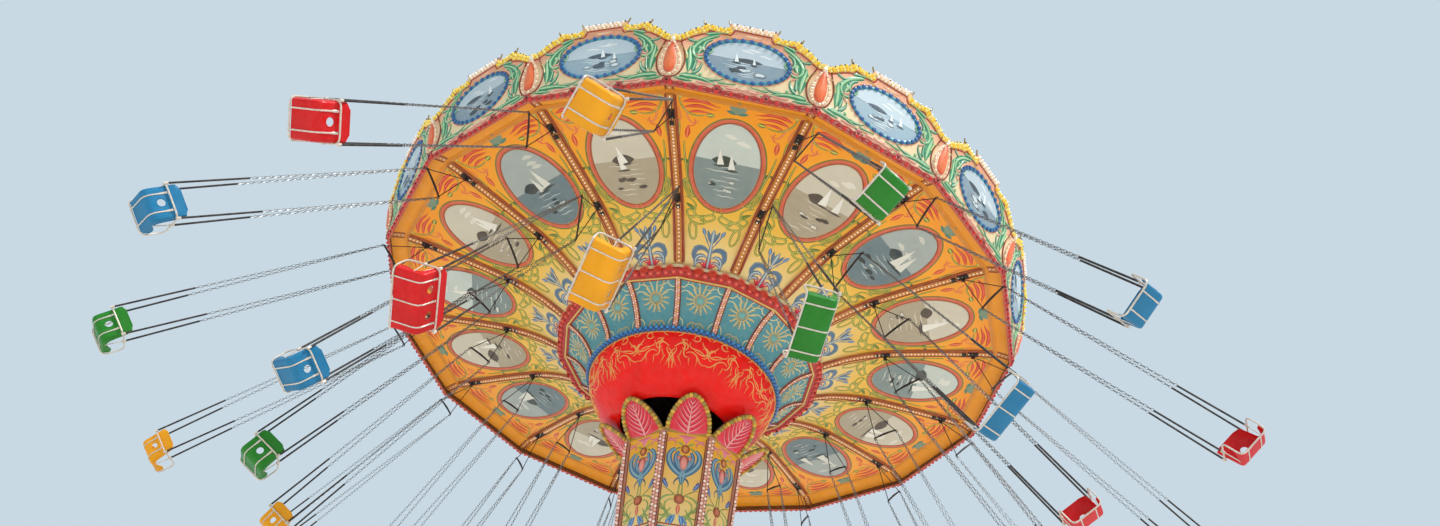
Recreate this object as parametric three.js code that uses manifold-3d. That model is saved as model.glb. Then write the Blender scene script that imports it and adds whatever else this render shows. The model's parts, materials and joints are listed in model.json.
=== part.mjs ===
// Chair swing ride with its canopy leaning and its chairs flung out, in millimetres, +Z up.
// The origin is the middle of the base on the ground. The canopy has a frame of its own: its origin
// is the middle of the ceiling's rim, and its +Z runs up the leaning axis that it turns about.
import * as THREE from 'three';
import { mergeVertices } from 'three/addons/utils/BufferGeometryUtils.js';
import Module from 'manifold-3d';

const wasm = await Module();
wasm.setup();

// Driving dimensions
const bays = 16;
const rimRadius = 5200;            // middle of the canopy to the outer end of a rib
const firstRibAzimuth = -105.4;    // of rib 0, the one over the front
const leanAngle = 5.7;             // canopy axis from the vertical
const leanAzimuth = 53;            // the side the canopy axis leans to
const pivotHeight = 13900;         // where the leaning axis crosses the tower's axis
const pivotAboveRim = 1444;
const seatGap = 0.3;               // between pieces that rest on each other
const slack = 1e-3;

// Tower, as octagons: radii are to the corners, and one flat faces -Y but for the turn, in degrees
const towerSides = 8;
const towerTurn = -4;
const platform = { radius: 3300, height: 350 };
const plinth = { radius: 1500, lipRadius: 1580, lipHeight: 110, top: 1500 };
const waist = { bottom: 7120, top: 7300, claddingRadius: 829, radius: 905, innerRadius: 740 };
const claddingWall = 60;
const lowerCladdingBase = 1150;
const upperCladding = { top: 10018, radius: 975 };
const lightStrip = { width: 108, proud: 42, ringHeight: 120 };
const leaf = { width: 650, length: 650, thickness: 40, lean: 48, ringHeight: 60, foot: 20 };
const mast = { radius: 360, top: 13420, flangeRadius: 470, flangeHeight: 80, sides: 24 };
const tiltCollar = { radius: 460 };

// Canopy, as profiles of radius and height in its own frame
const hub = { radius: 500, height: 210, sides: 16, plateRadius: 660, plateHeight: 150 };
const rafter = { width: 90, depth: 130, footHeight: 144 };
const rimRing = { inner: 5060, outer: 5185, bottom: 72, top: 205 };
const innerRing = { inner: 2110, outer: 2214, height: 90 };
const dropPost = { width: 70, count: 8 };
const ceilingUnderside = [[5190, 45], [4794, 30], [3328, -120], [2700, -290], [2215, -530]];
const ceilingThickness = 26;
const rib = { width: 112, depth: 44, edgeWidth: 60, edgeInset: 30 };
const crownRing = { inner: 2130, outer: 2290, height: 85, chamfer: 50 };
const crownDrop = [[2215, 0], [1900, -179], [1680, -419], [1575, -627]];
const crownWall = 28;
const crownStrip = { width: 104, depth: 40 };
const beadRing = { inner: 1505, outer: 1625, height: 60 };
const bowlDrop = [[1560, 0], [1525, -176], [1400, -411], [1190, -611], [915, -776]];
const bowlWall = 26;
const bowlSides = 24;
const soffitThickness = 20;
const roof = { eaveRadius: 5180, topRadius: 690, thickness: 28 };
const roofCap = { radius: 760, height: 150, crownRadius: 330, crownHeight: 420, sides: 16 };

// Cornice boards lean outwards; heights run up the board from its lower edge
const cornice = { lowerRadius: 5422, lowerHeight: -146, lean: 15.6, thickness: 38 };
const boardOutline = { valley: 880, shoulder: 1045, step: 1175, crest: 1285 };
const boardSteps = { valley: 0.485, shoulder: 0.41, step: 0.34, crest: 0.17 };

// Chairs, in a frame with its origin in the hanger's eye, +Z up the chains and +X outwards
const chairRings = {
  outer: { radius: 4794, height: -60, bench: () => false },
  inner: { radius: 3328, height: -224, bench: (k) => [15, 0, 1, 2, 7, 8, 9, 10].includes(k) },
};
// How far each chair hangs out from the vertical and trails behind its rib, in degrees, by rib
const swingOut = {
  outer: [43, 39, 42, 44, 45, 46, 46, 46, 46, 47, 48, 49, 50, 50, 48, 46],
  inner: [37, 35, 36, 35, 35, 35, 35, 35, 35, 35, 36, 36, 36, 33, 34, 36],
};
const trail = {
  outer: [0, -3, 0, 2, 2, 2, 2, 2, 2, 3, 4, 5, 5, 4, 4, 1],
  inner: [-2, -3, 1, 3, 2, 1, 1, 1, 1, 1, 0, 0, 0, 0, 2, 1],
};
// How far a chair has turned on its chains, so that its riders face outwards, in degrees, by rib
const twist = {
  outer: [30, 25, 0, 0, 0, 0, 0, 0, 0, 0, 0, 0, 0, 0, 0, 20],
  inner: [26, 0, 0, 0, 0, 0, 0, 0, 0, 0, 0, 0, 0, 0, 18, 28],
};
const eye = { radius: 26, thickness: 16 };
const neck = { halfWidth: 10, drop: 60, overlap: 12 };
const lug = { thickness: 12, halfWidth: 28, below: 28 };
const hangerDrop = 620;
const hangerBar = 15;
const spreaderDepth = 34;
const chainWidth = 26;
const seat = {
  drop: 4857,                      // eye to the middle of the bucket
  bottom: -138, front: -202, back: 142, top: 284, recline: 60, wall: 14,
};
// The upper edge of a bucket's side, from the front to the back: how far along, and its height
const seatSide = [[0, -34], [0.22, -19], [0.5, -76], [0.72, -43], [0.96, 103]];
const chairWidths = {
  single: { cage: 470, spreader: 500 },
  bench: { cage: 785, spreader: 700 },
};
const cageTube = 24;
const arm = { front: -230, back: 230, bottom: -157, rise: 34, top: 150 };

const finishes = {
  paint: { roughness: 0.45, metalness: 0 },
  gloss: { roughness: 0.2, metalness: 0 },
  steel: { roughness: 0.35, metalness: 1 },
  timber: { roughness: 0.7, metalness: 0 },
};
const chairColours = [0xe8a21c, 0x3c8f36, 0x2f87b3, 0xc6242c];

const degrees = THREE.MathUtils.degToRad;
const up = new THREE.Vector3(0, 0, 1);
const bayAngle = 360 / bays;
const bayTan = Math.tan(degrees(bayAngle / 2));
const bayCos = Math.cos(degrees(bayAngle / 2));
const ribAzimuth = (k) => firstRibAzimuth + k * bayAngle;

// Solids: closed meshes that share their vertices and face outwards
function closed(geometry) {
  const bare = new THREE.BufferGeometry();
  bare.setAttribute('position', geometry.attributes.position);
  if (geometry.index) bare.setIndex(geometry.index);
  const merged = mergeVertices(bare, slack);
  const index = merged.index.array;
  const position = merged.attributes.position;
  const [a, b, c] = [new THREE.Vector3(), new THREE.Vector3(), new THREE.Vector3()];
  const kept = [];
  let volume = 0;
  for (let i = 0; i < index.length; i += 3) {
    const [ia, ib, ic] = [index[i], index[i + 1], index[i + 2]];
    if (ia === ib || ib === ic || ic === ia) continue;
    kept.push(ia, ib, ic);
    a.fromBufferAttribute(position, ia);
    b.fromBufferAttribute(position, ib);
    c.fromBufferAttribute(position, ic);
    volume += a.dot(b.cross(c));
  }
  if (volume < 0) kept.reverse();
  merged.setIndex(kept);
  return merged;
}

function toSolid(geometry) {
  const mesh = closed(geometry);
  return new wasm.Manifold(new wasm.Mesh({
    numProp: 3,
    vertProperties: new Float32Array(mesh.attributes.position.array),
    triVerts: new Uint32Array(mesh.index.array),
  }));
}

function toGeometry(solid) {
  const mesh = solid.getMesh();
  const geometry = new THREE.BufferGeometry();
  geometry.setAttribute('position', new THREE.BufferAttribute(new Float32Array(mesh.vertProperties), 3));
  geometry.setIndex(new THREE.BufferAttribute(new Uint32Array(mesh.triVerts), 1));
  return geometry;
}

const joinSolids = (geometries) => geometries.map(toSolid).reduce((sum, next) => sum.add(next));
const join = (geometries) => toGeometry(joinSolids(geometries));

// A solid of revolution with flat sides, its first corner at the given azimuth
function turned(profile, sides, cornerAzimuth) {
  const points = profile.map(([radius, height]) => new THREE.Vector2(radius, height));
  const onAxis = points[0].x === 0 && points[points.length - 1].x === 0;
  if (!onAxis) points.push(points[0].clone());
  const geometry = new THREE.LatheGeometry(points, sides);
  geometry.rotateX(Math.PI / 2);
  geometry.rotateZ(degrees(cornerAzimuth + 90));
  return closed(geometry);
}

// A flat outline in the plane of X and Z, with thickness along Y about its middle
function plate(outline, thickness, holes = []) {
  const wound = (points, clockwise) => {
    const flat = points.map(([x, z]) => new THREE.Vector2(x, z));
    return THREE.ShapeUtils.isClockWise(flat) === clockwise ? flat : flat.reverse();
  };
  const shape = new THREE.Shape(wound(outline, false));
  for (const hole of holes) shape.holes.push(new THREE.Path(wound(hole, true)));
  const geometry = new THREE.ExtrudeGeometry(shape, { depth: thickness, bevelEnabled: false });
  geometry.translate(0, 0, -thickness / 2);
  geometry.rotateX(Math.PI / 2);
  return geometry;
}

function box(x, y, z, width, depth, height) {
  return new THREE.BoxGeometry(width, depth, height).translate(x, y, z);
}

function bar(from, to, width, depth) {
  const start = new THREE.Vector3(...from);
  const run = new THREE.Vector3(...to).sub(start);
  const geometry = new THREE.BoxGeometry(run.length(), width, depth);
  geometry.translate(run.length() / 2, 0, 0);
  const along = run.clone().normalize();
  const side = new THREE.Vector3().crossVectors(up, along).normalize();
  const over = new THREE.Vector3().crossVectors(along, side);
  return geometry.applyMatrix4(new THREE.Matrix4().makeBasis(along, side, over).setPosition(start));
}

const around = (geometry, azimuth) => geometry.clone().rotateZ(degrees(azimuth));

function material(name, color, finish) {
  return new THREE.MeshStandardMaterial({ name, color, ...finishes[finish] });
}

function piece(name, geometry, color, finish) {
  const mesh = new THREE.Mesh(geometry, material(name, color, finish));
  mesh.name = name;
  return mesh;
}

// Tower
const faceCorner = -90 + towerTurn + 180 / towerSides;
const octagon = (profile) => turned(profile, towerSides, faceCorner);
const cosHalf = Math.cos(Math.PI / towerSides);

function claddingTube(bottom, bottomRadius, top, topRadius) {
  return octagon([
    [bottomRadius, bottom], [topRadius, top], [topRadius - claddingWall, top], [bottomRadius - claddingWall, bottom],
  ]);
}

// Strips over the eight corners of a stretch of cladding, joined by a ring round its foot
function cornerStrips(bottom, bottomRadius, top, topRadius) {
  const outside = (from, to, proud) => {
    const at = (z) => bottomRadius + (topRadius - bottomRadius) * (z - bottom) / (top - bottom) + proud;
    return octagon([[0, from], [at(from), from], [at(to), to], [0, to]]);
  };
  const body = toSolid(outside(bottom, top, lightStrip.proud));
  const cladding = toSolid(outside(bottom - 1, top + 1, seatGap));
  const fins = [];
  for (let i = 0; i < towerSides / 2; i += 1) {
    const fin = box(0, 0, (bottom + top) / 2, 4 * bottomRadius, lightStrip.width, top - bottom);
    fins.push(around(fin, faceCorner + i * 45));
  }
  const ring = box(0, 0, bottom + lightStrip.ringHeight / 2, 4 * bottomRadius, 4 * bottomRadius, lightStrip.ringHeight);
  return toGeometry(body.intersect(joinSolids([...fins, ring])).subtract(cladding));
}

// A pointed arch that leans out over each flat, joined by a ring round the top of the cladding
function leafCrown() {
  const base = upperCladding.top + seatGap;
  const half = leaf.width / 2;
  const outline = [
    [-half, 0], [half, 0], [half * 0.94, leaf.length * 0.38], [half * 0.6, leaf.length * 0.78],
    [0, leaf.length], [-half * 0.6, leaf.length * 0.78], [-half * 0.94, leaf.length * 0.38],
  ];
  const flat = upperCladding.radius * cosHalf - leaf.thickness / 2;
  const parts = [octagon([
    [upperCladding.radius, base], [upperCladding.radius + 22, base + leaf.ringHeight],
    [upperCladding.radius - 75, base + leaf.ringHeight], [upperCladding.radius - 75, base],
  ])];
  for (let i = 0; i < towerSides; i += 1) {
    const blade = plate(outline, leaf.thickness);
    blade.rotateX(degrees(leaf.lean));
    blade.translate(0, -flat, base + leaf.foot);
    parts.push(around(blade, towerTurn + i * 45));
  }
  return join(parts);
}

const tower = new THREE.Group();
tower.add(
  piece('base_platform', octagon([
    [0, 0], [platform.radius, 0], [platform.radius, platform.height], [0, platform.height],
  ]), 0x6f6a63, 'timber'),
  piece('base_plinth', octagon([
    [0, platform.height + seatGap], [plinth.radius, platform.height + seatGap],
    [plinth.radius, plinth.top - plinth.lipHeight], [plinth.lipRadius, plinth.top - plinth.lipHeight],
    [plinth.lipRadius, plinth.top], [0, plinth.top],
  ]), 0x9c2b22, 'paint'),
  piece('lower_cladding', claddingTube(
    plinth.top + seatGap, lowerCladdingBase, waist.bottom, waist.claddingRadius,
  ), 0xe9b84a, 'paint'),
  piece('lower_corner_strips', cornerStrips(
    plinth.top + seatGap, lowerCladdingBase, waist.bottom, waist.claddingRadius,
  ), 0xe9c9b0, 'paint'),
  piece('waist_collar', octagon([
    [waist.innerRadius, waist.bottom + seatGap], [waist.radius, waist.bottom + seatGap],
    [waist.radius, waist.top - seatGap], [waist.innerRadius, waist.top - seatGap],
  ]), 0x9c2b22, 'paint'),
  piece('upper_cladding', claddingTube(
    waist.top, waist.claddingRadius, upperCladding.top, upperCladding.radius,
  ), 0xe9b84a, 'paint'),
  piece('upper_corner_strips', cornerStrips(
    waist.top, waist.claddingRadius, upperCladding.top, upperCladding.radius,
  ), 0xe9c9b0, 'paint'),
  piece('leaf_crown', leafCrown(), 0xd8405a, 'paint'),
  piece('inner_mast', turned([
    [0, plinth.top + seatGap], [mast.radius, plinth.top + seatGap],
    [mast.radius, mast.top - mast.flangeHeight], [mast.flangeRadius, mast.top - mast.flangeHeight],
    [mast.flangeRadius, mast.top], [0, mast.top],
  ], mast.sides, 0), 0x3a3d42, 'steel'),
);

// The canopy's frame: its axis leans, and passes through the pivot on the tower's axis
const lean = new THREE.Quaternion().setFromAxisAngle(
  new THREE.Vector3(-Math.sin(degrees(leanAzimuth)), Math.cos(degrees(leanAzimuth)), 0), degrees(leanAngle),
);
const canopyUp = up.clone().applyQuaternion(lean);
const pivot = new THREE.Vector3(0, 0, pivotHeight);
const canopyOrigin = pivot.clone().addScaledVector(canopyUp, -pivotAboveRim);

// The wedge between the mast's flange and the leaning hub
function slantedCollar() {
  const reach = 3 * tiltCollar.radius;
  const column = toSolid(turned([
    [0, mast.top + seatGap], [tiltCollar.radius, mast.top + seatGap],
    [tiltCollar.radius, pivotHeight + reach], [0, pivotHeight + reach],
  ], mast.sides, 0));
  const over = box(0, 0, reach, 2 * reach, 2 * reach, 2 * reach);
  over.applyQuaternion(lean);
  over.translate(...pivot.toArray());
  return toGeometry(column.subtract(toSolid(over)));
}
tower.add(piece('tilt_collar', slantedCollar(), 0x55585c, 'steel'));

// Canopy
const bayShape = (profile) => turned(profile, bays, firstRibAzimuth);
// The same with its flats, not its corners, at the ribs
const flatAtRibs = (profile) => turned(profile, bays, firstRibAzimuth + bayAngle / 2);

function shell(underside, thickness) {
  const top = underside.map(([radius, height]) => [radius, height + thickness]).reverse();
  return bayShape([...underside, ...top]);
}

function heightOn(profile, radius) {
  const sorted = [...profile].sort((a, b) => a[0] - b[0]);
  const i = Math.max(1, Math.min(sorted.length - 1, sorted.findIndex((p) => p[0] >= radius)));
  const [[r0, z0], [r1, z1]] = [sorted[i - 1], sorted[i]];
  return z0 + (z1 - z0) * (radius - r0) / (r1 - r0);
}

const hubBottom = pivotAboveRim + seatGap;
const hubTop = hubBottom + hub.height;
const plateBottom = hubTop + seatGap;
const rafterStart = { radius: hub.plateRadius - 30, height: plateBottom + hub.plateHeight / 2 };
const rafterSlope = (rafter.footHeight - rafterStart.height) / (rimRing.outer - rafterStart.radius);
const rafterAt = (radius) => rafterStart.height + rafterSlope * (radius - rafterStart.radius);
const rafterHalf = rafter.depth / 2 / Math.cos(Math.atan(rafterSlope));
// The roof folds over each rafter, so it rests on the rafter's two edges
const foldDrop = -rafterSlope * (rafter.width / 2) * bayTan;
const roofAt = (radius) => rafterAt(radius) + rafterHalf + foldDrop + 2 * seatGap;

// The cornice's inner face, and where the top edge of a rafter's tail meets it
const boardLean = degrees(cornice.lean);
const boardWall = cornice.thickness / Math.cos(boardLean) / bayCos;
const boardRise = Math.tan(boardLean) / bayCos;
const rafterAngle = Math.atan(rafterSlope);
const tailTop = {
  out: -Math.sin(rafterAngle) * rafter.depth / 2 + rafter.width / 2 * bayTan + seatGap,
  height: rafterAt(0) + Math.cos(rafterAngle) * rafter.depth / 2 - cornice.lowerHeight,
};
const tailEnd = (cornice.lowerRadius - boardWall + boardRise * tailTop.height - tailTop.out)
  / (1 - boardRise * rafterSlope);

// Sixteen rafters from the hub to the cornice, the rim ring and the ring that carries the ceiling
function sweepFrame() {
  const [, ceilingInnerHeight] = ceilingUnderside[ceilingUnderside.length - 1];
  const innerRingBottom = ceilingInnerHeight + ceilingThickness + seatGap;
  const parts = [
    flatAtRibs([[0, plateBottom], [hub.plateRadius, plateBottom],
      [hub.plateRadius, plateBottom + hub.plateHeight], [0, plateBottom + hub.plateHeight]]),
    flatAtRibs([[rimRing.inner, rimRing.bottom], [rimRing.outer, rimRing.bottom],
      [rimRing.outer, rimRing.top], [rimRing.inner, rimRing.top]]),
    bayShape([[innerRing.inner, innerRingBottom], [innerRing.outer, innerRingBottom],
      [innerRing.outer, innerRingBottom + innerRing.height], [innerRing.inner, innerRingBottom + innerRing.height]]),
  ];
  const start = [rafterStart.radius, 0, rafterStart.height];
  const end = [tailEnd, 0, rafterAt(tailEnd)];
  const postRadius = (innerRing.inner + innerRing.outer) / 2;
  const postFoot = innerRingBottom + innerRing.height / 2;
  const postHeight = rafterAt(postRadius) - postFoot;
  for (let k = 0; k < bays; k += 1) {
    const members = [bar(start, end, rafter.width, rafter.depth)];
    if (k % (bays / dropPost.count) === 0) {
      members.push(box(postRadius, 0, postFoot + postHeight / 2, dropPost.width, dropPost.width, postHeight));
    }
    parts.push(...members.map((member) => around(member, ribAzimuth(k))));
  }
  return join(parts);
}

// Chair places: eye, direction down the chains, hinge axis and frame, in the ride's own frame
function chairPlace(ring, k) {
  const { radius, height } = chairRings[ring];
  const azimuth = degrees(ribAzimuth(k));
  const spot = new THREE.Vector3(radius * Math.cos(azimuth), radius * Math.sin(azimuth), height);
  const eyeAt = spot.clone().applyQuaternion(lean).add(canopyOrigin);
  const outwards = new THREE.Vector3(Math.cos(azimuth), Math.sin(azimuth), 0).applyQuaternion(lean).setZ(0).normalize();
  const against = new THREE.Vector3().crossVectors(up, outwards);
  const out = degrees(swingOut[ring][k]);
  const behind = degrees(trail[ring][k]);
  const down = up.clone().multiplyScalar(-Math.cos(out))
    .addScaledVector(outwards, Math.sin(out) * Math.cos(behind))
    .addScaledVector(against, Math.sin(out) * Math.sin(behind));
  const zAxis = down.clone().negate();
  const yAxis = new THREE.Vector3().crossVectors(up, down).normalize();
  const xAxis = new THREE.Vector3().crossVectors(yAxis, zAxis);
  return { eyeAt, frame: new THREE.Matrix4().makeBasis(xAxis, yAxis, zAxis), yAxis, spot };
}

// The cheek under a rib that a hanger's eye turns against, in the canopy's frame
function lugCheek(ring, k) {
  const place = chairPlace(ring, k);
  const across = place.yAxis.clone().applyQuaternion(lean.clone().invert());
  const along = new THREE.Vector3().crossVectors(across, up).normalize();
  const over = new THREE.Vector3().crossVectors(along, across);
  const top = heightOn(ceilingUnderside, chairRings[ring].radius) - rib.depth / 2 - chairRings[ring].height;
  const offset = eye.thickness / 2 + seatGap + lug.thickness / 2;
  const frame = new THREE.Matrix4().makeBasis(along, across, over).setPosition(place.spot);
  return box(0, offset, (top - lug.below) / 2, 2 * lug.halfWidth, lug.thickness, top + lug.below)
    .applyMatrix4(frame);
}

const hung = (drops, from) => drops.map(([radius, drop]) => [radius, from + drop]);
const crownRingTop = ceilingUnderside[ceilingUnderside.length - 1][1] - seatGap;
const crownRingBottom = crownRingTop - crownRing.height;
const crownProfile = hung(crownDrop, crownRingBottom - seatGap);
const beadTop = crownProfile[crownProfile.length - 1][1] - seatGap;
const bowlProfile = hung(bowlDrop, beadTop - beadRing.height - seatGap);

function ceilingRibs() {
  const start = crownRing.outer + 6;
  const between = ceilingUnderside.map(([radius]) => radius).filter((radius) => radius > start).reverse();
  const edge = { outer: rimRadius - rib.edgeInset };
  edge.inner = edge.outer - rib.edgeWidth;
  const radii = [start, ...between.slice(0, -1), edge.inner + rib.edgeWidth / 4];
  const seatAt = (radius) => heightOn(ceilingUnderside, radius) - seatGap;
  const outline = [
    ...radii.map((radius) => [radius, seatAt(radius) - rib.depth]),
    ...radii.reverse().map((radius) => [radius, seatAt(radius)]),
  ];
  const edgeTop = seatAt(edge.inner);
  const parts = [bayShape([
    [edge.inner, edgeTop - rib.depth - 4], [edge.outer, edgeTop - rib.depth - 4],
    [edge.outer, edgeTop], [edge.inner, edgeTop],
  ])];
  for (let k = 0; k < bays; k += 1) {
    parts.push(around(plate(outline, rib.width), ribAzimuth(k)));
    for (const ring of Object.keys(chairRings)) parts.push(lugCheek(ring, k));
  }
  return join(parts);
}

// Boards under the rafters' tails, from the ceiling's edge out to the cornice
function soffitBoards() {
  const inner = ceilingUnderside[0][0] + seatGap / bayCos;
  const level = rimRing.bottom - seatGap;
  const under = rafterAt(0) - rafterHalf - seatGap;
  const bend = (level - under) / rafterSlope;
  const face = cornice.lowerRadius - boardWall - seatGap / bayCos;
  const end = (face + boardRise * (under - cornice.lowerHeight)) / (1 - boardRise * rafterSlope);
  const endHeight = under + rafterSlope * end;
  return bayShape([
    [inner, level], [bend, level], [end, endHeight],
    [end - boardRise * soffitThickness, endHeight - soffitThickness],
    [bend, level - soffitThickness], [inner, level - soffitThickness],
  ]);
}

function crownStrips() {
  const outer = crownProfile.map(([r, z]) => [r + crownStrip.depth * 0.75, z - crownStrip.depth * 0.6]);
  const seat0 = crownProfile.map(([r, z]) => [r + seatGap, z - seatGap]);
  const outline = [...seat0, ...outer.reverse()];
  const parts = [bayShape([
    [beadRing.inner, beadTop], [beadRing.outer, beadTop],
    [beadRing.outer, beadTop - beadRing.height], [beadRing.inner, beadTop - beadRing.height],
  ])];
  for (let k = 0; k < bays; k += 1) parts.push(around(plate(outline, crownStrip.width), ribAzimuth(k)));
  return join(parts);
}

// The part of a board that stands above the valleys, in the plane of X and Z
function boardCrest() {
  const half = cornice.lowerRadius * Math.sin(degrees(bayAngle / 2));
  const side = (s) => [
    [s * 2 * half * boardSteps.valley, boardOutline.valley - 1],
    [s * 2 * half * boardSteps.shoulder, boardOutline.shoulder],
    [s * 2 * half * boardSteps.step, boardOutline.step],
    [s * 2 * half * boardSteps.crest, boardOutline.step],
    [s * 2 * half * boardSteps.crest, boardOutline.crest],
  ];
  return plate([...side(1), ...side(-1).reverse()], cornice.thickness);
}

function corniceRing() {
  const { lowerRadius, lowerHeight, thickness } = cornice;
  const flat = lowerRadius * bayCos;
  const valleyHeight = lowerHeight + boardOutline.valley * Math.cos(boardLean);
  const valleyRadius = lowerRadius + boardRise * (valleyHeight - lowerHeight);
  const parts = [bayShape([
    [lowerRadius, lowerHeight], [valleyRadius, valleyHeight],
    [valleyRadius - boardWall, valleyHeight], [lowerRadius - boardWall, lowerHeight],
  ])];
  for (let k = 0; k < bays; k += 1) {
    const crest = boardCrest().translate(0, thickness / 2, 0).rotateX(boardLean).translate(0, -flat, lowerHeight);
    parts.push(around(crest, ribAzimuth(k + 0.5) + 90));
  }
  return join(parts);
}

// The inner face of a hanging shell, level with the outer one at both ends
const wallInside = (profile, wall) => profile.map(([radius, height], i) => [
  radius - wall, i % (profile.length - 1) === 0 ? height : height + wall * 0.35,
]);

const canopy = new THREE.Group();
canopy.position.copy(canopyOrigin);
canopy.quaternion.copy(lean);
canopy.add(
  piece('rotor_hub', turned([
    [0, hubBottom], [hub.radius, hubBottom], [hub.radius, hubTop], [0, hubTop],
  ], hub.sides, 0), 0x4a4d50, 'steel'),
  piece('sweep_frame', sweepFrame(), 0x6b4528, 'timber'),
  piece('roof_shell', bayShape([
    [roof.eaveRadius, roofAt(roof.eaveRadius)], [roof.topRadius, roofAt(roof.topRadius)],
    [roof.topRadius, roofAt(roof.topRadius) + roof.thickness],
    [roof.eaveRadius, roofAt(roof.eaveRadius) + roof.thickness],
  ]), 0xc9c2b4, 'timber'),
  piece('roof_cap', turned([
    [0, roofAt(roof.topRadius) + roof.thickness + seatGap],
    [roofCap.radius, roofAt(roof.topRadius) + roof.thickness + seatGap],
    [roofCap.radius, roofAt(roof.topRadius) + roofCap.height],
    [roofCap.crownRadius, roofAt(roof.topRadius) + roofCap.crownHeight],
    [0, roofAt(roof.topRadius) + roofCap.crownHeight],
  ], roofCap.sides, firstRibAzimuth), 0xb23a2a, 'paint'),
  piece('ceiling_panels', shell(ceilingUnderside, ceilingThickness), 0xf0a829, 'paint'),
  piece('ceiling_ribs', ceilingRibs(), 0x8a2f22, 'paint'),
  piece('soffit_boards', soffitBoards(), 0x7a5030, 'timber'),
  piece('crown_ring', bayShape([
    [crownRing.inner, crownRingBottom], [crownRing.outer - crownRing.chamfer, crownRingBottom],
    [crownRing.outer, crownRingBottom + crownRing.chamfer / 2],
    [crownRing.outer, crownRingTop], [crownRing.inner, crownRingTop],
  ]), 0xc4232b, 'paint'),
  piece('crown_panels', bayShape([...crownProfile, ...wallInside(crownProfile, crownWall).reverse()]), 0x3f9aa5, 'paint'),
  piece('crown_strips', crownStrips(), 0xe8b9a0, 'paint'),
  piece('bowl', turned([
    ...bowlProfile, ...wallInside(bowlProfile, bowlWall).reverse(),
  ], bowlSides, firstRibAzimuth), 0xe0301e, 'gloss'),
  piece('cornice_boards', corniceRing(), 0xe6d6a0, 'paint'),
);

// Chairs
function chainSide() {
  const { front, back, bottom, rise, top } = arm;
  const head = seat.drop - hangerDrop;
  const tube = cageTube;
  const half = chainWidth / 2;
  const fork = head - chainWidth * (head - top) / (back - half);
  const hook = half + 3;
  const outline = [
    [-hook, head], [hook, head], [back, top], [back - rise, bottom], [front, bottom], [front, top], [-half, top],
  ];
  const gapBetweenChains = [[half, fork], [half, top + 4], [back - chainWidth, top + 4]];
  const loop = [
    [front + tube, top - tube], [back - tube - 4, top - tube], [back - rise - tube, bottom + tube],
    [front + tube, bottom + tube],
  ];
  const geometry = plate(outline, tube, [gapBetweenChains, loop]);
  geometry.rotateZ(Math.PI / 2);
  geometry.translate(0, 0, -seat.drop);
  return geometry;
}

// The bucket's pan and back, then its two sides
function bucketShell(width) {
  const { bottom, front, back, top, recline, wall } = seat;
  const outline = [
    [front, bottom], [back, bottom], [back + recline, top],
    [back + recline - wall, top], [back - wall, bottom + wall], [front, bottom + wall],
  ];
  const edge = seatSide.map(([share, height]) => [front + share * (back - front), height]);
  const side = [[front, bottom], [back, bottom], [back + recline, top], ...edge.reverse()];
  const walls = [-1, 1].map((s) => plate(side, wall).translate(0, s * (width - wall) / 2, 0));
  return [plate(outline, width), ...walls]
    .map((geometry) => geometry.rotateZ(Math.PI / 2).translate(0, 0, -seat.drop));
}

// The eye and its neck stay square to the hinge; all below them is turned by the chair's twist
function chair(bench, turn) {
  const { cage, spreader } = chairWidths[bench ? 'bench' : 'single'];
  const half = spreader / 2;
  const eyePlate = plate(
    [[-neck.halfWidth, -neck.drop], [neck.halfWidth, -neck.drop], [eye.radius, -eye.radius / 2],
      [eye.radius / 2, eye.radius], [-eye.radius / 2, eye.radius], [-eye.radius, -eye.radius / 2]],
    eye.thickness,
  );
  const apex = -neck.drop + neck.overlap;
  const barFoot = half - 2.4 * hangerBar;
  const hanger = plate(
    [[-half, -hangerDrop - spreaderDepth], [half, -hangerDrop - spreaderDepth], [half, -hangerDrop + 12],
      [neck.halfWidth, apex], [-neck.halfWidth, apex], [-half, -hangerDrop + 12]],
    eye.thickness, [[[-barFoot, -hangerDrop], [0, apex - 2 * hangerBar], [barFoot, -hangerDrop]]],
  );
  const backTube = box(0, arm.back - cageTube / 2, arm.top - cageTube / 2 - seat.drop, cage - 2, cageTube, cageTube);
  const leanIn = (cage - spreader) / 2 / (seat.drop - hangerDrop);
  const sides = [-1, 1].map((s) => {
    const geometry = chainSide();
    const shear = new THREE.Matrix4().set(
      1, 0, -s * leanIn, s * (cage / 2) - s * leanIn * seat.drop, 0, 1, 0, 0, 0, 0, 1, 0, 0, 0, 0, 1,
    );
    return geometry.applyMatrix4(shear);
  });
  const turned = [hanger, ...sides, ...bucketShell(cage - 4), backTube]
    .map((geometry) => geometry.rotateZ(degrees(turn)));
  return join([eyePlate, ...turned]);
}

const chairs = new THREE.Group();
for (const ring of Object.keys(chairRings)) {
  for (let k = 0; k < bays; k += 1) {
    const { eyeAt, frame } = chairPlace(ring, k);
    const bench = chairRings[ring].bench(k);
    const name = `${ring}_${bench ? 'bench' : 'chair'}_${String(k + 1).padStart(2, '0')}`;
    const mesh = piece(name, chair(bench, twist[ring][k]), chairColours[k % chairColours.length], 'gloss');
    mesh.position.copy(eyeAt);
    mesh.quaternion.setFromRotationMatrix(frame);
    chairs.add(mesh);
  }
}

const ride = new THREE.Group();
ride.name = 'chair_swing_ride';
ride.add(tower, canopy, chairs);

export default ride;
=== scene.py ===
# Chair swing ride: finishes, painted ornament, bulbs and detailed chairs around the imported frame.
# Metres, +Z up. The canopy's pieces are made in the canopy's own frame: origin in the middle of the
# ceiling's rim, +Z up the leaning axis. A chair's pieces are made in its own frame: origin in the
# hanger's eye, +Z up the chains, +X outwards, +Y behind the rider.
import json
import math
import random

import bpy
from mathutils import Matrix, Vector


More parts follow.
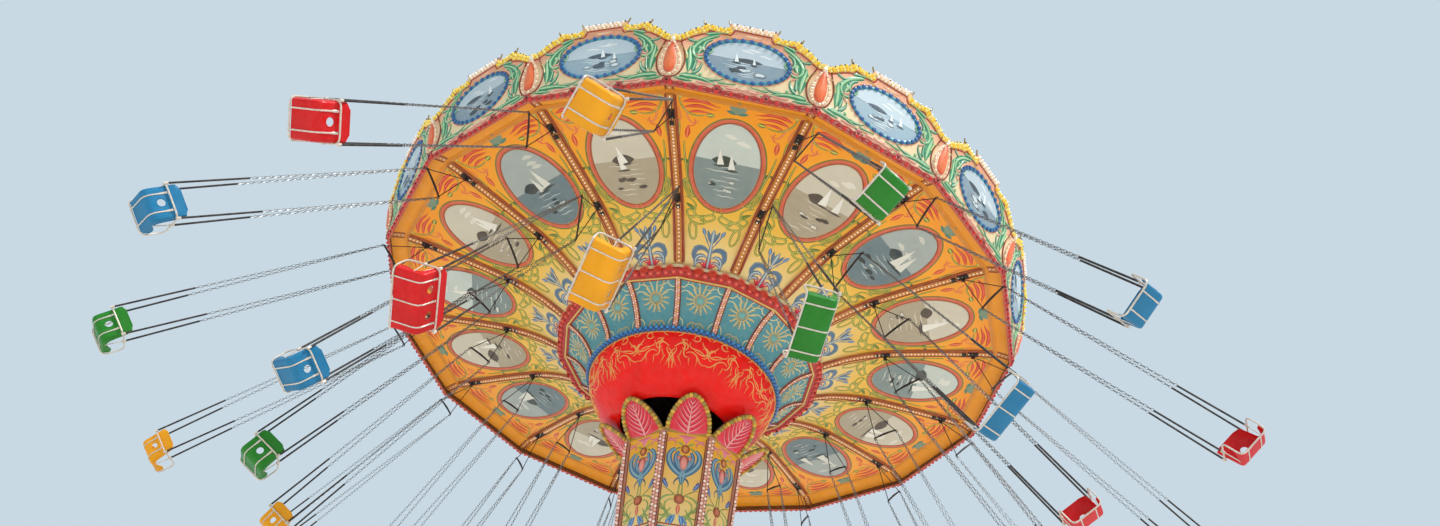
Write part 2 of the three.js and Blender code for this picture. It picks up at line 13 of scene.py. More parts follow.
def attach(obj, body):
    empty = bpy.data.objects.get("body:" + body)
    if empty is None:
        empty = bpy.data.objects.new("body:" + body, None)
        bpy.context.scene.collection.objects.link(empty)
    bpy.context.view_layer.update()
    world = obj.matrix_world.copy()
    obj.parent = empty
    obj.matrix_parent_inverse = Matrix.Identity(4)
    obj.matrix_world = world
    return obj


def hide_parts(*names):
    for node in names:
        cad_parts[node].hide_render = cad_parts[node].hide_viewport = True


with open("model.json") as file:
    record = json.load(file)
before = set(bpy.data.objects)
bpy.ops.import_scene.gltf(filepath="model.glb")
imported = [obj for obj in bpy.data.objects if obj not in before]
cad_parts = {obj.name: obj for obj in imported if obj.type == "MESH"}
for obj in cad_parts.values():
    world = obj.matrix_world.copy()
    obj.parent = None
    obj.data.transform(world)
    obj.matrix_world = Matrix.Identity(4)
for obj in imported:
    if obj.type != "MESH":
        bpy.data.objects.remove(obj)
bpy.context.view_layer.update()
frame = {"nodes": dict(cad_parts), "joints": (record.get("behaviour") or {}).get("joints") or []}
joints = {joint["name"]: joint for joint in frame["joints"]}
random.seed(4)
print("frame loaded:", len(frame["nodes"]), "nodes")

# Camera: fitted to the ribs' ends and the chairs of the photograph
camera = {
    "place": (-1.775, -15.282, 1.516), "turn": (129.87, -5.32, -11.93),
    "lens": 26.73, "sensor": 36, "reach": 300,
}
wayX, wayY, wayZ = Vector((1, 0, 0)), Vector((0, 1, 0)), Vector((0, 0, 1))


def linear(hexColour):
    parts = [int(hexColour[i:i + 2], 16) / 255 for i in (0, 2, 4)]
    return tuple(p / 12.92 if p <= 0.04045 else ((p + 0.055) / 1.055) ** 2.4 for p in parts) + (1.0,)


def addObject(name, data):
    thing = bpy.data.objects.new(name, data)
    bpy.context.scene.collection.objects.link(thing)
    return thing


def newMesh(name, points, faces):
    mesh = bpy.data.meshes.new(name)
    mesh.from_pydata(points, [], faces)
    return mesh


def setCamera():
    data = bpy.data.cameras.new("camera")
    data.lens, data.sensor_width, data.clip_end = camera["lens"], camera["sensor"], camera["reach"]
    thing = addObject("camera", data)
    thing.location = camera["place"]
    thing.rotation_euler = [math.radians(angle) for angle in camera["turn"]]
    bpy.context.scene.camera = thing


setCamera()


# Finishes: one small function adds a node, and each finish starts from the real material
def addNode(tree, kind, settings=None, links=None, **values):
    node = tree.nodes.new(kind)
    for name, value in values.items():
        setattr(node, name, value)
    for name, value in (settings or {}).items():
        node.inputs[name].default_value = value
    for name, source in (links or {}).items():
        tree.links.new(source, node.inputs[name])
    return node


def newFinish(name):
    finish = bpy.data.materials.new(name)
    finish.use_nodes = True
    finish.node_tree.nodes.clear()
    return finish, finish.node_tree


def shade(finish, settings, links):
    shader = addNode(finish.node_tree, "ShaderNodeBsdfPrincipled", settings, links)
    addNode(finish.node_tree, "ShaderNodeOutputMaterial", None, {"Surface": shader.outputs[0]})
    return finish


def grain(tree, size, detail=3.0, stretch=(1, 1, 1)):
    # Clouds, blotches or ridges; size is the width of one, in metres
    place = addNode(tree, "ShaderNodeTexCoord").outputs["Object"]
    if stretch != (1, 1, 1):
        place = addNode(tree, "ShaderNodeMapping", {"Scale": stretch}, {"Vector": place}).outputs[0]
    settings = {"Scale": 1 / size, "Detail": detail}
    return addNode(tree, "ShaderNodeTexNoise", settings, {"Vector": place}).outputs[0]


# Where most of a grain's values lie
grainRange = {"From Min": 0.3, "From Max": 0.7}


def stained(tree, base, marks, amount, colour, spread=grainRange):
    # Lays a colour over the base, up to an amount where the marks are strongest
    limits = {**spread, "To Min": 0.0, "To Max": amount}
    share = addNode(tree, "ShaderNodeMapRange", limits, {"Value": marks}).outputs[0]
    settings, links = {7: linear(colour)}, {0: share}
    (settings if isinstance(base, tuple) else links)[6] = base
    return addNode(tree, "ShaderNodeMix", settings, links, data_type="RGBA").outputs[2]


def weathered(finish, settings, base, marks, rough, relief, depth):
    # Roughness runs between two values over the marks, and the relief is that deep, in metres
    tree = finish.node_tree
    limits = {**grainRange, "To Min": rough[0], "To Max": rough[1]}
    gloss = addNode(tree, "ShaderNodeMapRange", limits, {"Value": marks}).outputs[0]
    amount = {"Distance": depth, "Strength": 1.0}
    bump = addNode(tree, "ShaderNodeBump", amount, {"Height": relief}).outputs[0]
    return shade(finish, settings, {"Base Color": base, "Roughness": gloss, "Normal": bump})


def enamelFinish(name, colour=None, rough=0.42, coat=0.15, streak=0.03, patch=0.35, depth=0.0006, wear=0.05):
    # Signwriter's enamel, brushed on: soft gloss, fine brush streaks, patches a little faded or grimy.
    # With no colour it takes each brush stroke's own from the mesh.
    finish, tree = newFinish(name)
    base = linear(colour) if colour else (
        addNode(tree, "ShaderNodeAttribute", attribute_name="tint").outputs["Color"]
    )
    patches = grain(tree, patch, 4.0)
    worn = stained(tree, base, patches, wear * 1.6, "6a4a30")
    faded = stained(tree, worn, grain(tree, patch * 0.37), wear, "fff4dc")
    return weathered(
        finish, {"Coat Weight": coat, "Coat Roughness": 0.2, "Specular IOR Level": 0.3}, faded,
        patches, (rough - 0.08, rough + 0.12), grain(tree, streak, 2.0, (1.0, 1.0, 0.25)), depth,
    )


def mouldedFinish(name, colour, rough=0.25, coat=0.10):
    # Glass-fibre moulding with a gel coat: wet gloss over a faint ripple, scuffed in patches
    finish, tree = newFinish(name)
    scuffs = grain(tree, 0.11, 5.0)
    scuffed = stained(tree, linear(colour), scuffs, 0.02, "f4efe6")
    worn = stained(tree, scuffed, grain(tree, 0.30, 4.0), 0.16, "3a2a20")
    return weathered(
        finish, {"Coat Weight": coat, "Coat Roughness": 0.1, "Specular IOR Level": 0.12}, worn,
        scuffs, (rough, rough + 0.22), grain(tree, 0.05, 1.0), 0.0008,
    )


def steelFinish(name, colour, rough=0.35, metal=1.0):
    # Steel, galvanised or under worn paint: broken gloss from handling and weather
    finish, tree = newFinish(name)
    marks = grain(tree, 0.04, 5.0)
    base = stained(tree, linear(colour), marks, 0.35, "5b5049")
    relief = grain(tree, 0.008, 2.0)
    return weathered(finish, {"Metallic": metal}, base, marks, (rough - 0.1, rough + 0.2), relief, 0.0003)


def bulbFinish(name):
    # Small lacquered glass bulbs, in the tint of each: bright and glossy, with a soft glow of their own
    finish, tree = newFinish(name)
    base = addNode(tree, "ShaderNodeAttribute", attribute_name="tint").outputs["Color"]
    return shade(
        finish, {"Roughness": 0.12, "Coat Weight": 0.5, "Coat Roughness": 0.05, "Emission Strength": 0.12},
        {"Base Color": base, "Emission Color": base},
    )


def timberFinish(name, colour, dark):
    # Weathered softwood boards: raised light and dark fibres along the board, no gloss left
    finish, tree = newFinish(name)
    fibres = grain(tree, 0.02, 6.0, (1.0, 0.12, 1.0))
    return weathered(
        finish, {}, stained(tree, linear(colour), fibres, 1.0, dark), fibres, (0.6, 0.85), fibres, 0.002,
    )


def canvasFinish(name, colour):
    # Coated canvas: a dull sheen, threads drawn ten times too coarse so that they show, dust in the folds
    finish, tree = newFinish(name)
    place = addNode(tree, "ShaderNodeTexCoord").outputs["Object"]
    weave = {"Scale": 60, "Distortion": 0.4}
    threads = addNode(tree, "ShaderNodeTexWave", weave, {"Vector": place}).outputs[1]
    dust = grain(tree, 0.8, 5.0)
    base = stained(tree, linear(colour), dust, 0.5, "8d8474")
    return weathered(finish, {"Sheen Weight": 0.2}, base, dust, (0.65, 0.8), threads, 0.001)


def ceilingFinish(name, stops):
    # Ply panels sprayed in one fade from crown to rim and brushed over by hand: a soft, cloudy change
    # of colour. The stops are radius and colour.
    finish, tree = newFinish(name)
    place = addNode(tree, "ShaderNodeTexCoord").outputs["Object"]
    flat = addNode(tree, "ShaderNodeVectorMath", {1: (1, 1, 0)}, {0: place}, operation="MULTIPLY").outputs[0]
    radius = addNode(tree, "ShaderNodeVectorMath", None, {0: flat}, operation="LENGTH").outputs["Value"]
    clouds = grain(tree, 0.30, 4.0)
    links = {0: clouds, 2: radius}
    fade = addNode(tree, "ShaderNodeMath", {1: 0.55}, links, operation="MULTIPLY_ADD").outputs[0]
    near, far = stops[0][0], stops[-1][0]
    limits = {"From Min": near + 0.27, "From Max": far + 0.27}
    share = addNode(tree, "ShaderNodeMapRange", limits, {"Value": fade}).outputs[0]
    ramp = addNode(tree, "ShaderNodeValToRGB", None, {"Fac": share})
    elements = ramp.color_ramp.elements
    for where, colour in stops:
        at = (where - near) / (far - near)
        stop = elements[0] if at == 0 else elements[-1] if at == 1 else elements.new(at)
        stop.color = linear(colour)
    grimy = stained(tree, ramp.outputs[0], grain(tree, 0.7, 5.0), 0.06, "9a5c20")
    return weathered(
        finish, {"Coat Weight": 0.1, "Coat Roughness": 0.3}, grimy, clouds, (0.38, 0.55),
        grain(tree, 0.02, 2.0), 0.0005,
    )


def panelFinish(name):
    # Enamelled tower panels: egg yellow under the leaves, fading to cream in clouds below
    finish, tree = newFinish(name)
    place = addNode(tree, "ShaderNodeTexCoord").outputs["Object"]
    height = addNode(tree, "ShaderNodeSeparateXYZ", None, {0: place}).outputs[2]
    clouds = grain(tree, 0.35, 4.0)
    links = {0: clouds, 2: height}
    fade = addNode(tree, "ShaderNodeMath", {1: 0.9}, links, operation="MULTIPLY_ADD").outputs[0]
    base = stained(tree, linear("f0d896"), fade, 1.0, "f4b028", {"From Min": 8.6, "From Max": 10.3})
    return weathered(
        finish, {"Coat Weight": 0.1, "Coat Roughness": 0.3}, base, clouds, (0.4, 0.58),
        grain(tree, 0.02), 0.0005,
    )


finishes = {
    "strokes": enamelFinish("signwritersEnamel"),
    "carved": enamelFinish("carvedAndPaintedPlaster", None, 0.40, 0.15, 0.02, 0.2, 0.0008, 0.06),
    "ceiling": ceilingFinish(
        "fadedCeilingEnamel", [(2.2, "f0d490"), (3.1, "f6bf40"), (4.1, "fca91c"), (5.2, "ff9808")],
    ),
    "bulbs": bulbFinish("lacqueredBulbGlass"),
    "redGel": mouldedFinish("redGelCoat", "ff0d02", 0.16, 0.16),
    "zinc": steelFinish("zincPlatedSteel", "8b8a88", 0.42, 0.85),
    "darkSteel": steelFinish("darkGreasedSteel", "3a3430", 0.5, 0.7),
    "mastPaint": steelFinish("mastPaint", "2c2d2f", 0.45, 0.2),
    "cageTube": steelFinish("creamPaintedTube", "e6d8c8", 0.3, 0.15),
    "sleeve": enamelFinish("blackRubberSleeve", "17161a", 0.55, 0.0, 0.02, 0.2, 0.0004, 0.05),
    "timber": timberFinish("stainedTimber", "8a5c34", "4a2c18"),
    "deck": timberFinish("weatheredDeckBoards", "8f8577", "5a5148"),
    "canvas": canvasFinish("coatedRoofCanvas", "d8cfba"),
    "plinth": enamelFinish("plinthEnamel", "9f2a20", 0.4, 0.2),
    "stripPaint": enamelFinish("stripEnamel", "c98a70", 0.45, 0.1),
    "rimPaint": enamelFinish("rimEnamel", "ffa012", 0.5, 0.1),
    "towerPanel": panelFinish("towerPanelEnamel"),
}
chairColours = {"yellow": "f5a30f", "green": "237f22", "blue": "1f78a4", "red": "d80f14"}
for word, colour in chairColours.items():
    finishes[word] = mouldedFinish(word + "GelCoatSeat", colour)
print("finishes made:", len(finishes))


# Meshes are gathered in a stock: points, faces, a tint for each point and a finish number for each face
def newStock():
    return {"points": [], "faces": [], "tints": [], "slots": []}


def addShape(stock, points, faces, tint="ffffff", slot=0):
    start = len(stock["points"])
    tints = tint if isinstance(tint, list) else [tint] * len(points)
    stock["points"] += [tuple(p) for p in points]
    stock["tints"] += tints
    stock["faces"] += [tuple(start + i for i in face) for face in faces]
    stock["slots"] += [slot] * len(faces)


def makePiece(name, stock, finishNames, body, replaces=(), smooth=35):
    mesh = newMesh(name, stock["points"], stock["faces"])
    colours = {tint: linear(tint) for tint in set(stock["tints"])}
    layer = mesh.color_attributes.new("tint", "FLOAT_COLOR", "POINT")
    layer.data.foreach_set("color", [part for tint in stock["tints"] for part in colours[tint]])
    mesh.polygons.foreach_set("material_index", stock["slots"])
    for finishName in finishNames:
        mesh.materials.append(finishes[finishName])
    mesh.shade_smooth()
    mesh.set_sharp_from_angle(angle=math.radians(smooth))
    return placePiece(name, mesh, body, canopyFrame if body == "canopy" else None, replaces)


def placePiece(name, mesh, body, placed=None, replaces=()):
    piece = addObject(name, mesh)
    if placed is not None:
        piece.matrix_world = placed
    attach(piece, body)
    if replaces:
        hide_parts(*replaces)
    return piece


def sheet(stock, rows, tint="ffffff", slot=0, flip=1):
    # Joins rows of equally many points; flip -1 turns the sheet over
    wide = len(rows[0])
    faces = [
        (a, a + 1, a + wide + 1, a + wide)[::flip]
        for i in range(len(rows) - 1) for a in range(i * wide, (i + 1) * wide - 1)
    ]
    addShape(stock, [p for row in rows for p in row], faces, tint, slot)


def plate(stock, surface, spans, columns, thick, tint="ffffff", flip=1):
    # Front and back of a plate; the spans are y and the half width there
    shares = [2 * c / columns - 1 for c in range(columns + 1)]
    for lift, way in ((0.0, flip), (-thick, -flip)):
        rows = [[surface(half * share, y, lift) for share in shares] for y, half in spans]
        sheet(stock, rows, tint, 0, way)


def loft(stock, rings, tint="ffffff", slot=0, caps=True):
    # Joins rings of equally many points
    count = len(rings[0])
    last = (len(rings) - 1) * count
    faces = [
        (i + j, i + (j + 1) % count, i + (j + 1) % count + count, i + j + count)
        for i in range(0, last, count) for j in range(count)
    ]
    if caps:
        faces += [tuple(reversed(range(count))), tuple(range(last, last + count))]
    addShape(stock, [p for ring in rings for p in ring], faces, tint, slot)


def ringAround(centre, side, over, radiusA, radiusB, sides):
    angles = [2 * math.pi * i / sides for i in range(sides)]
    return [centre + side * (radiusA * math.cos(a)) + over * (radiusB * math.sin(a)) for a in angles]


def tube(stock, path, radius, sides=8, tint="ffffff", slot=0, closed=False):
    path = [Vector(p) for p in path]
    count = len(path)
    rings = []
    over = None
    for i, point in enumerate(path):
        before = path[i - 1] if i or closed else point
        after = path[(i + 1) % count] if i < count - 1 or closed else point
        along = (after - before).normalized()
        if over is None:
            over = along.orthogonal().normalized()
        over = (over - along * over.dot(along)).normalized()
        rings.append(ringAround(point, along.cross(over), over, radius, radius, sides))
    if closed:
        rings.append(rings[0])
    loft(stock, rings, tint, slot, caps=not closed)


def rounded(corners, radius, steps=5, closed=False):
    # A path through corners, each rounded by a bend of that radius
    corners = [Vector(c) for c in corners]
    count = len(corners)
    path = []
    for i, corner in enumerate(corners):
        if not closed and i in (0, count - 1):
            path.append(corner)
            continue
        toBefore = corners[i - 1] - corner
        toAfter = corners[(i + 1) % count] - corner
        reach = min(radius, toBefore.length * 0.45, toAfter.length * 0.45)
        start = corner + toBefore.normalized() * reach
        end = corner + toAfter.normalized() * reach
        for step in range(steps + 1):
            t = step / steps
            path.append(start * (1 - t) ** 2 + corner * (2 * t * (1 - t)) + end * t ** 2)
    return path


def turned(stock, profile, segments, tint="ffffff", slot=0, turn=0.0):
    # A profile of radius and height turned about +Z
    rings = []
    for i in range(segments):
        angle = 2 * math.pi * i / segments + turn
        rings.append([Vector((r * math.cos(angle), r * math.sin(angle), z)) for r, z in profile])
    loft(stock, rings + rings[:1], tint, slot, caps=False)


# Shares of a bead's radius and height, from its foot up; the small ones have fewer rings
beadShape = {
    "small": ((0.95, -0.25), (0.86, 0.62)), "large": ((0.86, -0.25), (1.0, 0.3), (0.72, 0.78)),
    "largeFrom": 0.034,
}


def dome(stock, centre, normal, radius, height, tint="ffffff", slot=0, sides=8):
    # A bulb or bead standing on a surface
    normal = normal.normalized()
    side = normal.orthogonal().normalized()
    over = normal.cross(side)
    profile = beadShape["small" if radius < beadShape["largeFrom"] else "large"]
    points = []
    for share, rise in profile:
        wide = radius * share
        points += ringAround(centre + normal * (height * rise), side, over, wide, wide, sides)
    top = (len(profile) - 1) * sides
    faces = [
        (i + j, i + (j + 1) % sides, i + (j + 1) % sides + sides, i + j + sides)
        for i in range(0, top, sides) for j in range(sides)
    ]
    faces += [(top + j, top + (j + 1) % sides, top + sides) for j in range(sides)]
    addShape(stock, points + [centre + normal * height], faces, tint, slot)


# Brush strokes: a surface maps two flat coordinates and a height above the paint to a point
def sweep(start, heading, length, bends=(0, 0)):
    # A path from start whose bends, in degrees a metre, change evenly along it
    steps = max(5, min(18, round(length / 0.04)))
    x, y = start
    heading = math.radians(heading)
    path = [(x, y)]
    for i in range(steps):
        along = (i + 0.5) / steps * (len(bends) - 1)
        k = min(int(along), len(bends) - 2)
        bend = bends[k] + (bends[k + 1] - bends[k]) * (along - k)
        heading += math.radians(bend) * length / steps
        x += math.cos(heading) * length / steps
        y += math.sin(heading) * length / steps
        path.append((x, y))
    return path


def bothSides(path):
    return [[(side * x, y) for x, y in path] for side in (-1, 1)]


widthShapes = {
    "leaf": lambda t: max(0.04, math.sin(math.pi * t) ** 0.8),
    "stem": lambda t: 0.55 + 0.45 * math.sin(math.pi * t),
    "comma": lambda t: max(0.05, (1 - t) ** 0.7 * min(1.0, 6 * t + 0.35)),
    "flame": lambda t: max(0.04, math.sin(math.pi * t ** 0.7)),
    "line": lambda t: 1.0,
}


def ribbon(stock, surface, path, width, tint, shape="stem", lift=0.004, slot=0, edge=0.0):
    # A raised stroke: two edges on the surface and a ridge between them
    last = len(path) - 1
    rows = []
    for i, (x, y) in enumerate(path):
        beforeX, beforeY = path[max(0, i - 1)]
        afterX, afterY = path[min(last, i + 1)]
        length = math.hypot(afterX - beforeX, afterY - beforeY) or 1.0
        half = width / 2 * widthShapes[shape](i / last)
        alongX, alongY = (afterX - beforeX) / length * half, (afterY - beforeY) / length * half
        rows.append([
            surface(x - alongY * side, y + alongX * side, height)
            for side, height in ((-1, edge), (0, lift), (1, edge))
        ])
    sheet(stock, rows, tint, slot)


def pad(stock, surface, outline, tint, lift, middleTint=None, edge=0.0, centre=None):
    # A filled shape, a little pillowed
    count = len(outline)
    middleX, middleY = centre or (sum(p[0] for p in outline) / count, sum(p[1] for p in outline) / count)
    inner = [(x * 0.6 + middleX * 0.4, y * 0.6 + middleY * 0.4) for x, y in outline]
    points = [surface(x, y, edge) for x, y in outline]
    points += [surface(x, y, lift) for x, y in inner + [(middleX, middleY)]]
    faces = [(i, (i + 1) % count, count + (i + 1) % count, count + i) for i in range(count)]
    faces += [(count + i, count + (i + 1) % count, 2 * count) for i in range(count)]
    addShape(stock, points, faces, [tint] * count + [middleTint or tint] * (count + 1))


def oval(x, y, radiusX, radiusY, count=24):
    angles = [2 * math.pi * i / count for i in range(count)]
    return [(x + radiusX * math.cos(a), y + radiusY * math.sin(a)) for a in angles]


def ovalRing(stock, surface, y, radiusX, radiusY, width, tint, lift, count):
    path = oval(0, y, radiusX, radiusY, count)
    ribbon(stock, surface, path + path[:2], width, tint, "line", lift)


def beadsAlong(
    stock, surface, path, radius, height, tints, spacing, lift, slot=1, sides=6, aim=(0, 1), start=0.5,
):
    # Domes at even steps along a path; aim is how far they point up the surface and out of it
    left, placed = spacing * start, 0
    for (x0, y0), (x1, y1) in zip(path, path[1:]):
        length = math.hypot(x1 - x0, y1 - y0)
        while left <= length:
            x, y = x0 + (x1 - x0) * left / length, y0 + (y1 - y0) * left / length
            foot = surface(x, y, lift)
            way = surface(x, y + aim[0], lift + aim[1]) - foot
            dome(stock, foot, way, radius, height, tints[placed % len(tints)], slot, sides)
            left += spacing
            placed += 1
        left -= length


def paintStrokes(stock, surface, strokes, lift=0.004):
    # strokes: x, y, heading, length, bends, width, shape, colour, for some the colour of a lighter middle,
    # and "once" for one that has no mirror image
    for x, y, heading, length, bends, width, shape, colour, *more in strokes:
        path = sweep((x, y), heading, length, bends)
        for shown in [path] if "once" in more else bothSides(path):
            ribbon(stock, surface, shown, width, colour, shape, lift)
            if more:
                ribbon(stock, surface, shown, width * 0.34, more[0], shape, lift * 1.7, edge=lift * 0.9)


# The canopy's own frame, from the joint it turns on
canopyJoint = joints["canopy_turn"]
canopyUp = Vector(canopyJoint["axis"]).normalized()
canopyTurn = wayZ.rotation_difference(canopyUp).to_matrix()
pivotAboveRim = 1.444
canopyOrigin = Vector(canopyJoint["pos_m"]) - canopyUp * pivotAboveRim
canopyFrame = Matrix.Translation(canopyOrigin) @ canopyTurn.to_4x4()
bays = 16
bayAngle = 2 * math.pi / bays
firstRib = math.radians(-105.4)
bayCos, bayTan = math.cos(bayAngle / 2), math.tan(bayAngle / 2)


def outAndAcross(angle):
    return Vector((math.cos(angle), math.sin(angle), 0)), Vector((-math.sin(angle), math.cos(angle), 0))


def ribDirection(k):
    return outAndAcross(firstRib + k * bayAngle)


def placeOn(ways, reach, x, z):
    # The point at a reach from the axis, x across it and z up
    return ways[0] * reach + ways[1] * x + Vector((0, 0, z))


def alongProfile(profile, x):
    # Height of a smooth curve through a profile's points, by x
    points = sorted(profile)
    i = next((n for n in range(1, len(points)) if x <= points[n][0]), len(points) - 1)
    (x0, y0), (x1, y1) = points[i - 1], points[i]
    before = points[max(0, i - 2)]
    after = points[min(len(points) - 1, i + 1)]
    slope0 = (y1 - before[1]) / (x1 - before[0])
    slope1 = (after[1] - y0) / (after[0] - x0)
    t = (x - x0) / (x1 - x0)
    run = x1 - x0
    return (
        (2 * t ** 3 - 3 * t ** 2 + 1) * y0 + (t ** 3 - 2 * t ** 2 + t) * run * slope0
        + (3 * t ** 2 - 2 * t ** 3) * y1 + (t ** 3 - t ** 2) * run * slope1
    )


# Ceiling: sixteen painted panels between the ribs
ceiling = {
    "underside": [(5.19, 0.045), (4.794, 0.03), (3.328, -0.12), (2.70, -0.29), (2.215, -0.53)],
    "thickness": 0.026, "rows": 26, "columns": 6,
    "oval": {"middle": 3.96, "halfWidth": 0.49, "halfLength": 0.755},
}
rib = {
    "start": 2.296, "end": 5.125, "width": 0.136, "depth": 0.030, "rim": (5.112, 5.168),
    "paint": "cc7c26", "edgeWidth": 0.025, "edgePaint": "8a2412",
    "soffit": ((5.194, 0.052), (5.400, -0.022)),
    "bulb": {"radius": 0.019, "height": 0.017, "spacing": 0.060, "tints": ["fbe6c2", "f6cfa8"]},
}


def ceilingHeight(radius):
    underside = ceiling["underside"]
    return alongProfile(underside, min(underside[0][0], max(underside[-1][0], radius)))


def ceilingSurface(k):
    # x runs round the bay and y out from the axis, both flat; lift is downwards
    ways = ribDirection(k + 0.5)
    return lambda x, y, lift: placeOn(ways, y, x, ceilingHeight(y / bayCos) - lift)


def makeCeiling():
    stock = newStock()
    rows = ceiling["rows"]
    outer, inner = ceiling["underside"][0][0] * bayCos, ceiling["underside"][-1][0] * bayCos
    levels = [inner + (outer - inner) * row / rows for row in range(rows + 1)]
    for k in range(bays):
        spans = [(y, y * bayTan) for y in levels]
        plate(stock, ceilingSurface(k), spans, ceiling["columns"], ceiling["thickness"])
    makePiece("ceilingBoards", stock, ["ceiling"], "canopy", ["ceiling_panels"], 20)


olive, lime, sage = "6c782c", "d4c850", "7f9478"
flameRed, flameLight, salmon = "d8361a", "f4603a", "ec6438"
slate, slateLight, steelBlue = "6a7e8c", "bcc6c4", "50708e"
# Around one panel: x from its middle line, y from the axis, heading 0 along x and 90 outwards
ceilingStrokes = [
    # flames in the outer corners, three strands each
    (0.810, 4.925, 160, 0.58, [-60, 200, -180], 0.072, "flame", flameRed, flameLight),
    (0.765, 4.845, 160, 0.48, [-60, 200, -180], 0.062, "flame", "c92f16", flameLight),
    (0.700, 4.770, 160, 0.34, [-60, 200, -180], 0.052, "flame", flameRed, flameLight),
    # the corner's stem with its bud, and salmon loops under it
    (0.865, 5.010, 262, 0.56, [-100, -220, -220], 0.034, "stem", olive, lime),
    (0.445, 4.775, 172, 0.14, [0, 0], 0.085, "leaf", olive, lime),
    (0.760, 4.840, 236, 0.40, [260, -200, -1100], 0.032, "stem", salmon, "f8a85c"),
    (0.850, 4.820, 258, 0.36, [-260, 300, 1000], 0.030, "stem", salmon, "f8a85c"),
    (0.600, 4.680, 216, 0.20, [500, 900], 0.026, "stem", salmon),
    # a red tongue and the stem down each side of the oval
    (0.668, 4.550, 264, 0.23, [60, 0], 0.080, "leaf", "d8381c", "f28048"),
    (0.820, 4.620, 246, 0.42, [160, 40, -100], 0.032, "stem", olive, lime),
    (0.690, 4.270, 264, 0.70, [-30, -10, 40], 0.036, "stem", olive, lime),
    (0.655, 3.960, 215, 0.11, [200, 0], 0.065, "leaf", "4c6a22"),
    (0.655, 3.950, 330, 0.09, [-200, 0], 0.050, "leaf", "4c6a22"),
    # curls below it and the dark leaf beside them
    (0.590, 3.600, 252, 0.52, [-60, -60, -1400], 0.034, "stem", olive, lime),
    (0.540, 3.300, 200, 0.34, [-100, 300, 700], 0.032, "stem", olive, lime),
    (0.330, 3.100, 10, 0.20, [200, 0], 0.064, "leaf", "4c6a22", "8a9a3a"),
    (0.380, 3.160, 250, 0.30, [300, -500, -400], 0.030, "stem", olive, lime),
    (0.030, 3.230, 272, 0.22, [0, 500], 0.030, "stem", olive, lime),
    (0.080, 3.040, 345, 0.32, [160, -160, 300], 0.030, "stem", olive, lime),
    # the blue flower over the crown: stalk, three lobes, buds and arching plumes
    (0.000, 2.200, 90, 0.48, [0, 0], 0.074, "stem", slate, slateLight, "once"),
    (0.000, 2.580, 90, 0.25, [0, 0], 0.090, "leaf", slate, slateLight, "once"),
    (0.020, 2.600, 66, 0.22, [40, 0], 0.064, "leaf", slate, steelBlue),
    (0.030, 2.540, 56, 0.22, [80, -80], 0.026, "stem", slate),
    (0.118, 2.710, 62, 0.13, [0, 0], 0.066, "leaf", steelBlue, "86a8d0"),
    (0.020, 2.440, 64, 0.44, [-240, -600, -300], 0.105, "leaf", slate, steelBlue),
    (0.030, 2.370, 48, 0.34, [-300, -700, -300], 0.070, "leaf", steelBlue, slateLight),
    (0.020, 2.300, 36, 0.26, [-300, -600], 0.055, "leaf", slate, slateLight),
]
# Loops of the knot: middle, half length, half width and tilt of the long axis
ceilingLoops = [
    (0.520, 3.450, 0.160, 0.042, 64), (0.290, 2.930, 0.125, 0.058, 8), (0.130, 2.985, 0.110, 0.050, -24),
    (0.330, 2.750, 0.140, 0.055, 76), (0.405, 3.020, 0.075, 0.055, 50),
]


# The water-lily leaf between the oval and the rim: heading, length, width and colour of each lobe
lilyLobes = [
    (90, 0.21, 0.14, sage), (128, 0.20, 0.10, sage), (52, 0.20, 0.10, sage), (168, 0.17, 0.06, "4f8068"),
    (12, 0.17, 0.06, "4f8068"),
]
# Rings of the oval's frame: distance outside the picture, width, colour and height
ceilingFrame = [
    (0.088, 0.026, olive, 0.004), (0.050, 0.064, "dc6440", 0.010), (0.014, 0.022, "a04434", 0.008),
    (0.062, 0.014, "f08a64", 0.013),
]


def frameOval(stock, surface, spec, rings):
    for grow, width, tint, lift in rings:
        halfX, halfY = spec["halfWidth"] + grow, spec["halfLength"] + grow
        ovalRing(stock, surface, spec["middle"], halfX, halfY, width, tint, lift, 48)


def tiltedOval(x, y, halfLength, halfWidth, tilt):
    sine, cosine = math.sin(math.radians(tilt)), math.cos(math.radians(tilt))
    flat = oval(0, 0, halfLength, halfWidth)
    return [(x + a * cosine - b * sine, y + a * sine + b * cosine) for a, b in flat]


def paintCeiling():
    stock = newStock()
    ribEdge = rib["width"] / 2 / bayCos + 0.008
    for k in range(bays):
        surface = ceilingSurface(k)
        paintStrokes(stock, surface, ceilingStrokes)
        for loop in ceilingLoops:
            path = tiltedOval(*loop)
            for shown in bothSides(path + path[:2]):
                ribbon(stock, surface, shown, 0.036, olive, "line", 0.005)
                ribbon(stock, surface, shown, 0.013, lime, "line", 0.008, edge=0.004)
        for x in (-0.850, 0.850):
            pad(stock, surface, oval(x, 5.020, 0.040, 0.036, 12), olive, 0.006, lime)
        # a red crest at the flower's foot
        for heading in (35, 62, 88):
            for crest in bothSides(sweep((0.03, 2.225), heading, 0.15)):
                ribbon(stock, surface, crest, 0.044, "e2304a", "comma", 0.014)
        # the red edge beside each rib
        for edge in bothSides([(y * bayTan - ribEdge, y) for y in (2.26, 3.3, 4.2, 5.06)]):
            ribbon(stock, surface, edge, 0.026, "a63a1c", "line", 0.008)
        for heading, length, width, tint in lilyLobes:
            ribbon(stock, surface, sweep((0, 4.885), heading, length), width, tint, "leaf")
        frameOval(stock, surface, ceiling["oval"], ceilingFrame)
    makePiece("ceilingPainting", stock, ["strokes"], "canopy")


